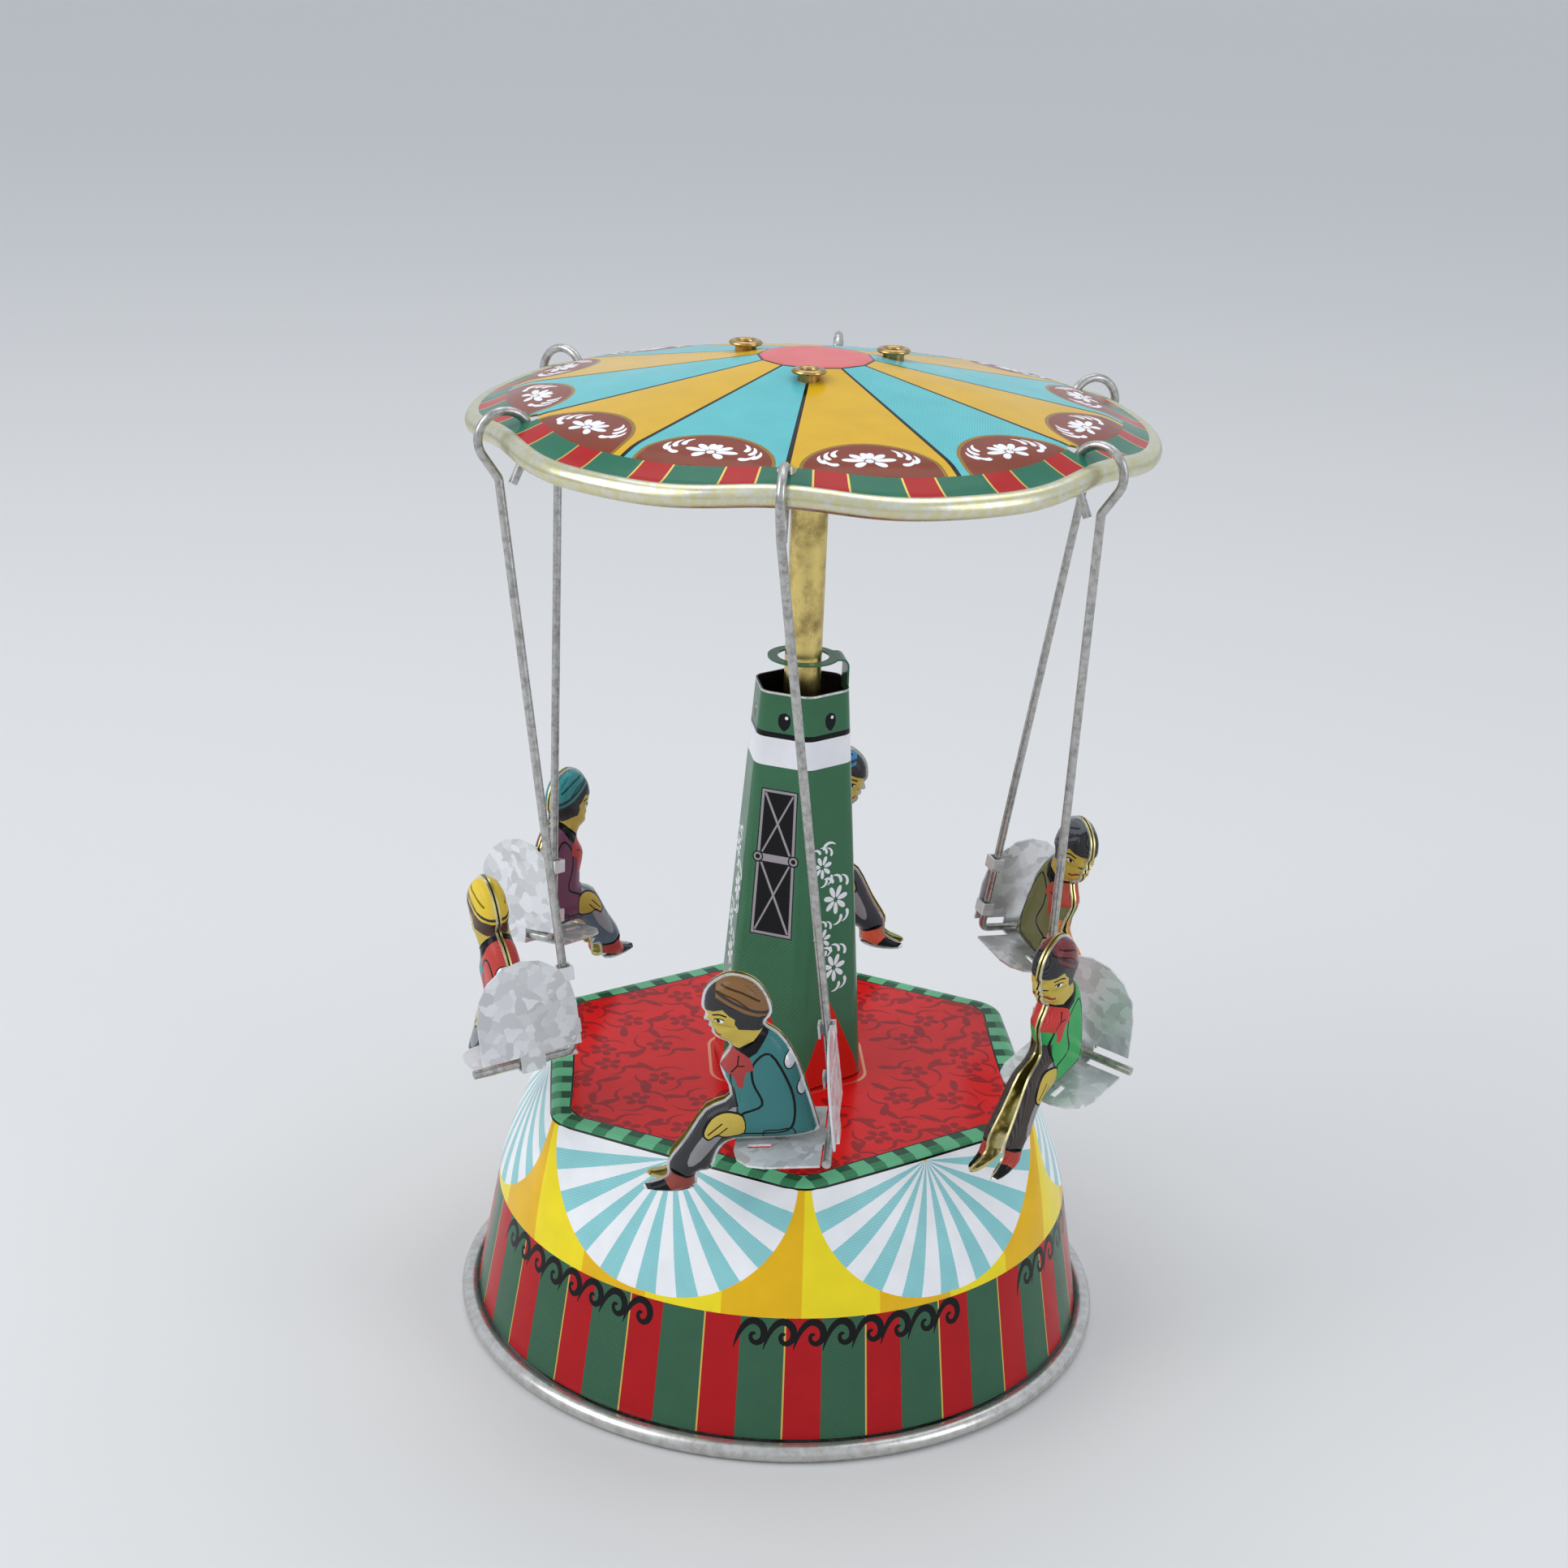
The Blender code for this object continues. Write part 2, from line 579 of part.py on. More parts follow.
# --- motor --------------------------------------------------------------------------------
def build_frame():
    outline = [(PLATE_LEFT, PLATE_BOTTOM), (PLATE_RIGHT, PLATE_BOTTOM),
               (PLATE_RIGHT, PLATE_TOP), (PLATE_LEFT, PLATE_TOP)]
    corners = [(x, z) for x in (PLATE_LEFT + PILLAR_INSET, PLATE_RIGHT - PILLAR_INSET)
               for z in (PLATE_BOTTOM + PILLAR_INSET, PLATE_TOP - PILLAR_INSET)]
    pivots = [(0.0, ARBOR_HEIGHT, ARBOR_RADIUS + GAP, 12),
              (GOVERNOR_X, ARBOR_HEIGHT, ARBOR_RADIUS + GAP, 12),
              (WINDING_X, ARBOR_HEIGHT, WINDING_ARBOR_RADIUS + GAP, 12)]
    screws = [(x, z, PILLAR_SHOULDER + GAP, 8) for x, z in corners]
    for name, front in (("front_plate", FRONT_PLATE_Y), ("back_plate", BACK_PLATE_Y)):
        # along_y turns +Y of the outline into -Z, so the outline goes in upside down
        flipped = [(x, -z) for x, z in outline]
        holes = [(x, -z, radius, steps) for x, z, radius, steps in pivots + screws]
        plate = along_y(prism(flipped, 0, PLATE, holes), 0, front, 0)
        fixed(name, mesh_from(plate, name), "bright_tin")
    for number, (x, z) in enumerate(corners, 1):
        start, end = FRONT_PLATE_Y + PLATE + GAP, BACK_PLATE_Y - GAP
        rivet = PLATE + 2 * GAP + PILLAR_RIVET
        profile = [(0, start - rivet), (PILLAR_SHOULDER, start - rivet), (PILLAR_SHOULDER, start),
                   (PILLAR_RADIUS, start), (PILLAR_RADIUS, end), (PILLAR_SHOULDER, end),
                   (PILLAR_SHOULDER, end + rivet), (0, end + rivet)]
        pillar = along_y(turned(profile, 10, closed_profile=False), x, 0, z)
        fixed(f"pillar_{number}", mesh_from(pillar, "pillar"), "bright_tin")


def build_bearings():
    """The step that the spindle stands on, and the strap that steadies it under the deck."""
    front = FRONT_PLATE_Y + PLATE + GAP
    half = STEP_HALF_WIDTH
    step_height = SPINDLE_PINION_HEIGHT - STEP_DROP
    step = box((-half, front, step_height), (half, STEP_REACH, step_height + PLATE))
    lug = box((-half, front, step_height - STEP_LUG), (half, front + PLATE, step_height + PLATE))
    fixed("step_bearing", combined(step, [lug]), "bright_tin")
    back = BACK_PLATE_Y - GAP
    strap_outline = [(-STRAP_HALF_WIDTH, front), (STRAP_HALF_WIDTH, front),
                     (STRAP_HALF_WIDTH, back), (-STRAP_HALF_WIDTH, back)]
    bore = SPINDLE_RADIUS + GAP
    strap = prism(strap_outline, PLATE_TOP + GAP, PLATE_TOP + GAP + PLATE, [(0, 0, bore, 16)])
    fixed("spindle_strap", mesh_from(strap, "spindle_strap"), "bright_tin")
    return step_height + PLATE + GAP


def arbor_between(name, x, radius, start, end, leaves_at, parent):
    """A pinion wire: a plain arbor with eight leaves cut on part of its length."""
    rod = prism(circle(0, 0, radius, 12), start, end)
    leaves = moved(gear(PINION_LEAVES, LEAF_LENGTH, 0, turn=0.5), Matrix.Translation((0, 0, leaves_at)))
    joined = combined(rod, [leaves])
    made = along_y(millimetres(joined), x, 0, ARBOR_HEIGHT)
    return fixed(name, mesh_from(made, name), "bright_tin", parent)


def build_crown(parent):
    start, end = FRONT_PLATE_Y - ARBOR_END, BACK_PLATE_Y + PLATE + ARBOR_END
    leaves_at = GREAT_WHEEL_Y - (LEAF_LENGTH - WHEEL_WIDTH) / 2
    arbor_between("crown_arbor", 0.0, ARBOR_RADIUS, start, end, leaves_at, parent)
    pitch = MODULE * CROWN_TEETH / 2
    inner, outer = pitch - CROWN_RIM, pitch + CROWN_RIM
    root = CROWN_PITCH_Y + DEDENDUM * MODULE
    bore = ARBOR_RADIUS + GAP
    cup = turned([(bore, CROWN_BACK_Y - 0.8), (bore, CROWN_BACK_Y), (outer, CROWN_BACK_Y),
                  (outer, root), (inner, root), (inner, CROWN_BACK_Y - 0.8)], 36)
    teeth = []
    reach = CROWN_PITCH_Y - ADDENDUM * MODULE
    slope = math.tan(PRESSURE_ANGLE)
    half = math.pi * MODULE / 4 - BACKLASH / 2
    for tooth in range(CROWN_TEETH):
        # a tooth is as wide as a rack's: half at the pitch plane, wider at its root
        tip, foot = half - ADDENDUM * MODULE * slope, half + DEDENDUM * MODULE * slope
        section = [(-foot, root + 0.3), (foot, root + 0.3), (tip, reach), (-tip, reach)]
        bm = bmesh.new()
        rings = [[bm.verts.new((across, radius, depth)) for across, depth in section]
                 for radius in (inner, outer)]
        bm.faces.new(rings[0])
        bm.faces.new(rings[1])
        for k in range(4):
            bm.faces.new((rings[0][k], rings[0][(k + 1) % 4], rings[1][(k + 1) % 4], rings[1][k]))
        turn = 2 * math.pi * (tooth + 0.5) / CROWN_TEETH
        teeth.append(moved(bm, Matrix.Rotation(turn, 4, "Z")))
    crown = bmesh.new()
    for tooth in teeth:
        mesh = mesh_from(tooth, "tooth")
        crown.from_mesh(mesh)
        bpy.data.meshes.remove(mesh)
    bmesh.ops.scale(crown, vec=(1 / MM,) * 3, verts=crown.verts)
    wheel = along_y(millimetres(combined(cup, [crown])), 0, 0, ARBOR_HEIGHT)
    fixed("crown_wheel", mesh_from(wheel, "crown_wheel"), "brass", parent)
    slow = along_y(gear(GOVERNOR_TEETH, WHEEL_WIDTH, bore), 0, GOVERNOR_WHEEL_Y, ARBOR_HEIGHT)
    fixed("governor_wheel", mesh_from(slow, "governor_wheel"), "brass", parent)


def build_governor(parent):
    start, end = FRONT_PLATE_Y - ARBOR_END, BACK_PLATE_Y + PLATE + ARBOR_END
    leaves_at = GOVERNOR_WHEEL_Y - (LEAF_LENGTH - WHEEL_WIDTH) / 2
    arbor_between("governor_arbor", GOVERNOR_X, ARBOR_RADIUS, start, end, leaves_at, parent)
    bore = ARBOR_RADIUS + GAP
    hub = prism(circle(0, 0, bore + FAN_HUB, 12), 0, FAN_WIDTH, [(0, 0, bore, 12)])
    root = bore + FAN_HUB / 2
    vanes = [box((low, -FAN_VANE, FAN_HUB), (high, FAN_VANE, FAN_WIDTH - FAN_HUB))
             for low, high in ((root, FAN_RADIUS), (-FAN_RADIUS, -root))]
    fan = along_y(millimetres(combined(hub, vanes)), GOVERNOR_X, FAN_FRONT_Y, ARBOR_HEIGHT)
    fixed("governor_fan", mesh_from(fan, "governor_fan"), "bright_tin", parent)


def build_great_wheel(parent):
    bore = WINDING_ARBOR_RADIUS + GAP
    wheel = along_y(gear(GREAT_TEETH, WHEEL_WIDTH, bore), WINDING_X, GREAT_WHEEL_Y, ARBOR_HEIGHT)
    fixed("great_wheel", mesh_from(wheel, "great_wheel"), "brass", parent)
    level = RATCHET_Y + 0.6
    corners = [Vector((10.0, 0.0)), Vector((9.0, 4.4)), Vector((4.4, 4.6)), Vector((2.9, 3.6))]
    path = [Vector((WINDING_X + x, level, ARBOR_HEIGHT + z)) for x, z in corners]
    foot = Vector((WINDING_X + 10.0, GREAT_WHEEL_Y - GAP, ARBOR_HEIGHT))
    spring = wire_curve("click_spring", bent([foot] + path, 0.8, 2), 0.3)
    fixed("click_spring", spring, "spring_steel", parent)


def build_winding(parent):
    wall = shell_back(ARBOR_HEIGHT)
    end = wall + KEY_REACH
    arbor = prism(circle(0, 0, WINDING_ARBOR_RADIUS, 12), FRONT_PLATE_Y - ARBOR_END, end)
    arbor = along_y(arbor, WINDING_X, 0, ARBOR_HEIGHT)
    fixed("winding_arbor", mesh_from(arbor, "winding_arbor"), "bright_tin", parent)
    saw = []
    for tooth in range(RATCHET_TEETH):
        turn = 2 * math.pi * tooth / RATCHET_TEETH
        following = turn + 2 * math.pi / RATCHET_TEETH * 0.9
        saw.append((RATCHET_RADIUS * math.cos(turn), RATCHET_RADIUS * math.sin(turn)))
        low = RATCHET_RADIUS - 0.9
        saw.append((low * math.cos(following), low * math.sin(following)))
    ratchet = prism(saw, 0, WHEEL_WIDTH, [(0, 0, WINDING_ARBOR_RADIUS + GAP, 12)])
    ratchet = along_y(ratchet, WINDING_X, RATCHET_Y, ARBOR_HEIGHT)
    fixed("ratchet_wheel", mesh_from(ratchet, "ratchet_wheel"), "bright_tin", parent)
    hub = prism(circle(0, 0, KEY_HUB_RADIUS, 16), 0, KEY_HUB_LENGTH)
    bow = []
    for step in range(17):
        # each wing is a rounded lobe: a half turn of an ellipse
        turn = math.radians(-90 + 180 * step / 16)
        bow.append((KEY_BOW_WAIST + (KEY_BOW_HALF - KEY_BOW_WAIST) * math.cos(turn),
                    KEY_BOW_DEPTH / 2 * math.sin(turn)))
    outline = bow + [(-x, -y) for x, y in bow]
    wings = prism(outline, -KEY_BOW_TIN, KEY_BOW_TIN)
    upright = Matrix.Translation((0, 0, KEY_HUB_LENGTH)) @ Matrix.Rotation(math.radians(90), 4, "X")
    key = combined(hub, [moved(wings, upright)])
    placed = along_y(millimetres(key), WINDING_X, end + GAP, ARBOR_HEIGHT)
    fixed("winding_key", mesh_from(placed, "winding_key"), "bright_tin", parent)


def build_mainspring():
    steps = int(SPRING_TURNS * 12)
    inner, outer = [], []
    for step in range(steps + 1):
        turn = 2 * math.pi * SPRING_TURNS * step / steps
        radius = SPRING_INNER + (SPRING_OUTER - SPRING_INNER) * step / steps
        for side, edge in ((-0.5, inner), (0.5, outer)):
            reach = radius + side * SPRING_STRIP
            edge.append((reach * math.cos(turn), reach * math.sin(turn)))
    ribbon = along_y(prism(outer + inner[::-1], 0, SPRING_WIDTH),
                     WINDING_X, SPRING_FRONT_Y, ARBOR_HEIGHT)
    fixed("mainspring", mesh_from(ribbon, "mainspring"), "spring_steel")


def build_key_collar():
    """An eyelet pressed into the shell where the winding arbor comes out."""
    wall = shell_back(ARBOR_HEIGHT)
    bore = WINDING_ARBOR_RADIUS + GAP
    barrel = KEY_COLLAR - COLLAR_LIP
    top = COLLAR_LENGTH + COLLAR_RIM
    profile = [(bore, 0.0), (barrel, 0.0), (barrel, COLLAR_LENGTH), (KEY_COLLAR, COLLAR_LENGTH),
               (KEY_COLLAR, top), (bore, top)]
    place = wall - COLLAR_LENGTH + COLLAR_STAND
    collar = along_y(turned(profile, 16), WINDING_X, place, ARBOR_HEIGHT)
    fixed("key_collar", mesh_from(collar, "key_collar"), "brass")


# --- rotor --------------------------------------------------------------------------------
def build_spindle(foot, parent):
    top = CANOPY_APEX - TIN - GAP - 1.0
    rod = prism(circle(0, 0, SPINDLE_RADIUS, 12), foot, top)
    fixed("spindle", mesh_from(rod, "spindle"), "steel_wire", parent)
    bore = SPINDLE_RADIUS + GAP
    low = SPINDLE_PINION_HEIGHT - LEAF_LENGTH / 2
    pinion = gear(PINION_LEAVES, LEAF_LENGTH, bore)
    # a leaf stands half a tooth from the crown tooth that it meshes with
    turn = Matrix.Rotation(math.radians(90), 4, "Z")
    pinion = moved(pinion, Matrix.Translation((0, 0, low)) @ turn)
    fixed("spindle_pinion", mesh_from(pinion, "spindle_pinion"), "brass", parent)
    inner = TUBE_RADIUS - TUBE_WALL
    spider_top = canopy_height(EYELET_CIRCLE) - TIN - GAP
    tube_top = spider_top - 1.8
    tube = turned([(inner, TUBE_BOTTOM), (TUBE_RADIUS, TUBE_BOTTOM), (TUBE_RADIUS, tube_top),
                   (inner, tube_top)], 20)
    fixed("drive_tube", mesh_from(tube, "drive_tube"), "brass", parent)
    upper = tube_top - PLUG_LENGTH - PLUG_INSET
    for name, low in (("lower_plug", TUBE_BOTTOM + PLUG_INSET), ("upper_plug", upper)):
        plug = turned([(bore, low), (inner - GAP, low), (inner - GAP, low + PLUG_LENGTH),
                       (bore, low + PLUG_LENGTH)], 16)
        fixed(name, mesh_from(plug, name), "brass", parent)


def build_spider(parent):
    """The three-armed plate under the canopy, riveted to it by the eyelets."""
    arm_end = EYELET_CIRCLE + EYELET_FLANGE + 0.4
    outline = []
    for arm in range(3):
        middle = PIVOT_AZIMUTHS[0] + arm * 2 * HEX
        for radius, turn in ((6.0, -50), (arm_end - 0.8, -12), (arm_end, -5), (arm_end, 5),
                             (arm_end - 0.8, 12), (6.0, 50)):
            point = polar(radius, middle + math.radians(turn), 0)
            outline.append((point.x, point.y))
    holes = [(0, 0, SPINDLE_RADIUS + GAP, 12)]
    for arm in range(3):
        point = polar(EYELET_CIRCLE, PIVOT_AZIMUTHS[0] + arm * 2 * HEX, 0)
        holes.append((point.x, point.y, EYELET_BARREL + GAP, 12))
    level = canopy_height(arm_end) - TIN - GAP - TIN - 0.1
    plate = prism(outline, level, level + TIN, holes)
    fixed("spider", mesh_from(plate, "spider"), "bright_tin", parent)
    return level


def build_eyelets(spider_low, parent):
    """Rolled brass eyelets: a barrel through both sheets with a rim at each end."""
    slope = math.atan2(CANOPY_APEX - SHOULDER_HEIGHT, CANOPY_SHOULDER - CROWN_RADIUS)
    rise = EYELET_FLANGE * math.tan(slope)
    top = canopy_height(EYELET_CIRCLE) + rise + GAP
    low = spider_low - GAP
    under = EYELET_FLANGE - 0.4
    profile = [(EYELET_BORE, low - EYELET_RIM), (under, low - EYELET_RIM), (under, low),
               (EYELET_BARREL, low), (EYELET_BARREL, top), (EYELET_FLANGE, top),
               (EYELET_FLANGE, top + EYELET_RIM), (EYELET_BARREL, top + EYELET_RIM + 0.4),
               (EYELET_BORE, top + EYELET_RIM + 0.1)]
    for number in range(3):
        point = polar(EYELET_CIRCLE, PIVOT_AZIMUTHS[0] + number * 2 * HEX, 0)
        eyelet = moved(turned(profile, 12), Matrix.Translation(point))
        fixed(f"eyelet_{number + 1}", mesh_from(eyelet, "eyelet"), "brass", parent)


def hook_crossing():
    """Radius where the hook's loop passes down through the canopy, from the rotor's axis."""
    reach = RIM_NOTCH - HOOK_RADIUS
    for _ in range(20):
        share = (reach - CANOPY_SHOULDER) / (RIM_NOTCH - CANOPY_SHOULDER)
        height = SHOULDER_HEIGHT + (RIM_NOTCH_HEIGHT + RIM_BEAD - SHOULDER_HEIGHT) * share
        rise = height - TIN / 2 - RIM_NOTCH_HEIGHT
        reach = RIM_NOTCH - math.sqrt(max(HOOK_RADIUS**2 - rise**2, 0.01))
    return reach


def build_canopy(parent):
    # facets meet every thirty degrees, with three more columns in each facet
    azimuths = [PIVOT_AZIMUTHS[0] + math.radians(7.5 * step) for step in range(48)]
    columns = [[polar(r, a, z) for r, z in canopy_profile(a)] for a in azimuths]
    sheet = swept(columns, closed_profile=False)
    holes = []
    reach = hook_crossing()
    for azimuth in PIVOT_AZIMUTHS:
        point = polar(reach, azimuth, RIM_NOTCH_HEIGHT)
        holes.append(moved(prism(circle(0, 0, HOOK_HOLE_RADIUS, 10), 0, 8), Matrix.Translation(point)))
    for number in range(3):
        point = polar(EYELET_CIRCLE, PIVOT_AZIMUTHS[0] + number * 2 * HEX, CANOPY_APEX - 8)
        hole = prism(circle(0, 0, EYELET_BARREL + GAP, 12), 0, 12)
        holes.append(moved(hole, Matrix.Translation(point)))
    fixed("canopy", combined(sheet, holes, "DIFFERENCE"), "canopy_litho", parent)


# --- swings -------------------------------------------------------------------------------
def hanger_path():
    """The wire from its free end over the canopy's edge and down to the end of the seat rod."""
    loop = []
    for step in range(9):
        turn = math.radians(HOOK_END_ANGLE + (HOOK_START_ANGLE - HOOK_END_ANGLE) * step / 8)
        loop.append(Vector((HOOK_RADIUS * math.cos(turn), 0, HOOK_RADIUS * math.sin(turn))))
    knee, corner = Vector(DOG_LEG), Vector(SEAT_ROD)
    seat = seat_frame()
    across = (seat.to_3x3() @ Vector((1, 0, 0))).normalized()
    length = 2 * SEAT_HALF_WIDTH - ROD_FROM_EDGE + ROD_STUB
    tail = bent([loop[-1], knee, corner, corner + across * length], BEND_RADIUS, 3)
    return [Vector(HOOK_STUB)] + loop + tail[1:]


def seat_frame():
    """Matrix of the seat's frame, from the pivot: X outwards, Y back, Z up along the leg.

    Its origin is on the rod, half way across the seat.
    """
    corner = Vector(SEAT_ROD)
    up = (Vector(DOG_LEG) - corner).normalized()
    out = Vector((1, 0, 0))
    out = (out - up * out.dot(up)).normalized()
    back = up.cross(out)
    middle = corner + out * (SEAT_HALF_WIDTH - ROD_FROM_EDGE)
    frame = Matrix((out, back, up)).transposed().to_4x4()
    return Matrix.Translation(middle) @ frame


def seat_mesh():
    """Backrest, middle strip, seat plate and the two clips that hold the wire."""
    half = SEAT_HALF_WIDTH
    dome = []
    for step in range(9):
        turn = math.pi * step / 8
        rise = (BACK_HEIGHT - BACK_STRAIGHT) * math.sin(turn)
        dome.append((half * math.cos(turn), BACK_STRAIGHT + rise))
    back_outline = [(-half, WINDOW_TOP), (half, WINDOW_TOP)] + dome
    # the outline is laid in X and -Z, then stood up behind the rod
    upright = Matrix.Translation((0, BACKREST_FRONT + SEAT_TIN, 0)) @ Matrix.Rotation(math.radians(90), 4, "X")
    backrest = moved(prism(back_outline, 0, SEAT_TIN), upright)
    front = BACKREST_FRONT - SEAT_LENGTH
    window = BACKREST_FRONT - WINDOW_DEPTH
    plate_outline = [(-half, window), (-STRIP_HALF_WIDTH, window),
                     (-STRIP_HALF_WIDTH, BACKREST_FRONT + SEAT_TIN),
                     (STRIP_HALF_WIDTH, BACKREST_FRONT + SEAT_TIN),
                     (STRIP_HALF_WIDTH, window), (half, window)]
    for centre, start in ((half - SEAT_CORNER, 0), (-half + SEAT_CORNER, -90)):
        for step in range(4):
            turn = math.radians(start - 90 * step / 3)
            plate_outline.append((centre + SEAT_CORNER * math.cos(turn),
                                  front + SEAT_CORNER + SEAT_CORNER * math.sin(turn)))
    plate = prism(plate_outline, SEAT_PLATE_TOP - SEAT_TIN, SEAT_PLATE_TOP)
    strip = box((-STRIP_HALF_WIDTH, BACKREST_FRONT, SEAT_PLATE_TOP - SEAT_TIN),
                (STRIP_HALF_WIDTH, BACKREST_FRONT + SEAT_TIN, WINDOW_TOP + STRIP_LAP))
    wire = -half + ROD_FROM_EDGE
    outer = wire - WIRE_RADIUS - GAP
    tools = [plate, strip]
    for height in (LOWER_CLIP, UPPER_CLIP):
        face = -WIRE_RADIUS - GAP
        side = box((outer - SEAT_TIN, face - SEAT_TIN, height),
                   (outer, BACKREST_FRONT + SEAT_TIN, height + CLIP_HEIGHT))
        lip = box((outer - SEAT_TIN, face - SEAT_TIN, height),
                  (wire + WIRE_RADIUS, face, height + CLIP_HEIGHT))
        root = box((outer - SEAT_TIN, BACKREST_FRONT, height),
                   (outer + 2.0, BACKREST_FRONT + SEAT_TIN, height + CLIP_HEIGHT))
        tools += [side, lip, root]
    bm = millimetres(combined(backrest, tools))
    return mesh_from(bm, "seat")


def seat_with_slots(mesh):
    slots = []
    for side in (-1, 1):
        middle = side * (RIDER_DEPTH - RIDER_TIN / 2)
        half, reach = RIDER_TIN / 2 + GAP, TAB_HALF + GAP
        slots.append(box((middle - half, -TAB_MIDDLE - reach, SEAT_PLATE_TOP - 2),
                         (middle + half, -TAB_MIDDLE + reach, SEAT_PLATE_TOP + 1)))
    return combined(millimetres(mesh), slots, "DIFFERENCE")


def rider_half():
    """The outer half of a rider, in the seat's frame: the stamped side faces +X."""
    bm = bmesh.new()
    ring = [bm.verts.new((0, -forward, up)) for forward, up in RIDER_OUTLINE]
    face = bm.faces.new(ring)
    bmesh.ops.recalc_face_normals(bm, faces=[face])
    if face.normal.x < 0:
        face.normal_flip()
    bmesh.ops.inset_region(bm, faces=[face], use_boundary=True, use_even_offset=True,
                           thickness=RIDER_ROUNDING, depth=RIDER_DEPTH - RIDER_TIN)
    bmesh.ops.triangulate(bm, faces=[f for f in bm.faces if len(f.verts) > 4])
    bmesh.ops.solidify(bm, geom=list(bm.faces), thickness=RIDER_TIN)
    low = min(vert.co.x for vert in bm.verts)
    toe = max(forward for forward, up in RIDER_OUTLINE)
    bmesh.ops.translate(bm, vec=(GAP / 2 - low, 0, 0), verts=bm.verts)
    for vert in bm.verts:
        along = max(-vert.co.y - HIP, 0) / (toe - HIP)
        vert.co.x += LEG_SPLAY * along if vert.co.z < THIGH_TOP else 0
    tab_side = RIDER_DEPTH - RIDER_TIN / 2
    low = SEAT_PLATE_TOP - SEAT_TIN - TAB_BELOW
    tab = box((tab_side - RIDER_TIN / 2, -TAB_MIDDLE - TAB_HALF, low),
              (tab_side + RIDER_TIN / 2, -TAB_MIDDLE + TAB_HALF, TAB_TOP))
    return combined(bm, [tab])


def build_swing(number, azimuth, meshes, rotor):
    pivot = polar(RIM_NOTCH, azimuth, RIM_NOTCH_HEIGHT) * MM
    place = Matrix.Translation(pivot) @ Matrix.Rotation(azimuth - math.radians(90), 4, "Z")
    swing = joint_empty(f"swing_{number}_pivot", place, rotor)
    wire = wire_curve("hanger_wire", hanger_path(), WIRE_RADIUS)
    add_object(f"hanger_wire_{number}", wire, "steel_wire", swing, place)
    frame = seat_frame()
    seat_place = place @ Matrix.Translation(frame.translation * MM) @ frame.to_3x3().to_4x4()
    seat, outer_half, inner_half = meshes
    add_object(f"seat_{number}", seat, "bright_tin", swing, seat_place)
    for side, half in (("outer", outer_half), ("inner", inner_half)):
        name = f"rider_{number}_{side}_half"
        add_object(name, half.copy(), f"rider_litho_{number}", swing, seat_place)


def mirrored(mesh):
    """The same half shell for the rider's other side."""
    bm = bmesh.new()
    bm.from_mesh(mesh)
    bmesh.ops.scale(bm, vec=(-1, 1, 1), verts=bm.verts)
    bmesh.ops.reverse_faces(bm, faces=bm.faces)
    other = bpy.data.meshes.new(mesh.name + "_mirrored")
    bm.to_mesh(other)
    bm.free()
    return other


def main():
    clear_scene()
    build_base()
    build_tower()
    build_frame()
    spindle_foot = build_bearings()
    build_mainspring()
    build_key_collar()
    height = Matrix.Translation((0, 0, ARBOR_HEIGHT * MM))
    build_crown(joint_empty("crown_axis", height))
    build_governor(joint_empty("governor_axis", Matrix.Translation((GOVERNOR_X * MM, 0, 0)) @ height))
    winding = Matrix.Translation((WINDING_X * MM, 0, 0)) @ height
    build_great_wheel(joint_empty("great_wheel_axis", winding))
    build_winding(joint_empty("winding_axis", winding))

    rotor = joint_empty("rotor_axis", Matrix.Identity(4))
    build_spindle(spindle_foot, rotor)
    spider_low = build_spider(rotor)
    build_eyelets(spider_low, rotor)
    build_canopy(rotor)
    half = rider_half()
    meshes = (seat_with_slots(seat_mesh()), half, mirrored(half))
    for number, azimuth in enumerate(PIVOT_AZIMUTHS, 1):
        build_swing(number, azimuth, meshes, rotor)


main()
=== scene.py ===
"""A tin litho swing carousel: the finished look of each piece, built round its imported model."""

import math

import bmesh
import bpy
import numpy as np
from mathutils import Matrix, Vector
from mathutils.geometry import delaunay_2d_cdt


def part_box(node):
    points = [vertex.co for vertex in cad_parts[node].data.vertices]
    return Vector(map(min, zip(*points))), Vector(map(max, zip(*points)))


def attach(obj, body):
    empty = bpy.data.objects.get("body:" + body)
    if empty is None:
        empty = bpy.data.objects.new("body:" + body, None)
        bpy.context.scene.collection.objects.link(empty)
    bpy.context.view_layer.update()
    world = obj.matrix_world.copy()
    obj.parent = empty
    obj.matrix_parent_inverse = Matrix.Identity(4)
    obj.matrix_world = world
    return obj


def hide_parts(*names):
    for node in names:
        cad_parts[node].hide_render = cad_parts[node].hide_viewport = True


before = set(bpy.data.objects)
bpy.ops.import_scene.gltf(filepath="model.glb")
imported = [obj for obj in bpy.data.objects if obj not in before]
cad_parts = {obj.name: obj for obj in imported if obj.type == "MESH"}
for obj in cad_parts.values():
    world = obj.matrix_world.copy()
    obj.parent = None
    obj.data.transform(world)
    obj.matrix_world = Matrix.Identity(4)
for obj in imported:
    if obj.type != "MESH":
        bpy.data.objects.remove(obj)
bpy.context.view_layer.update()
MM = 0.001

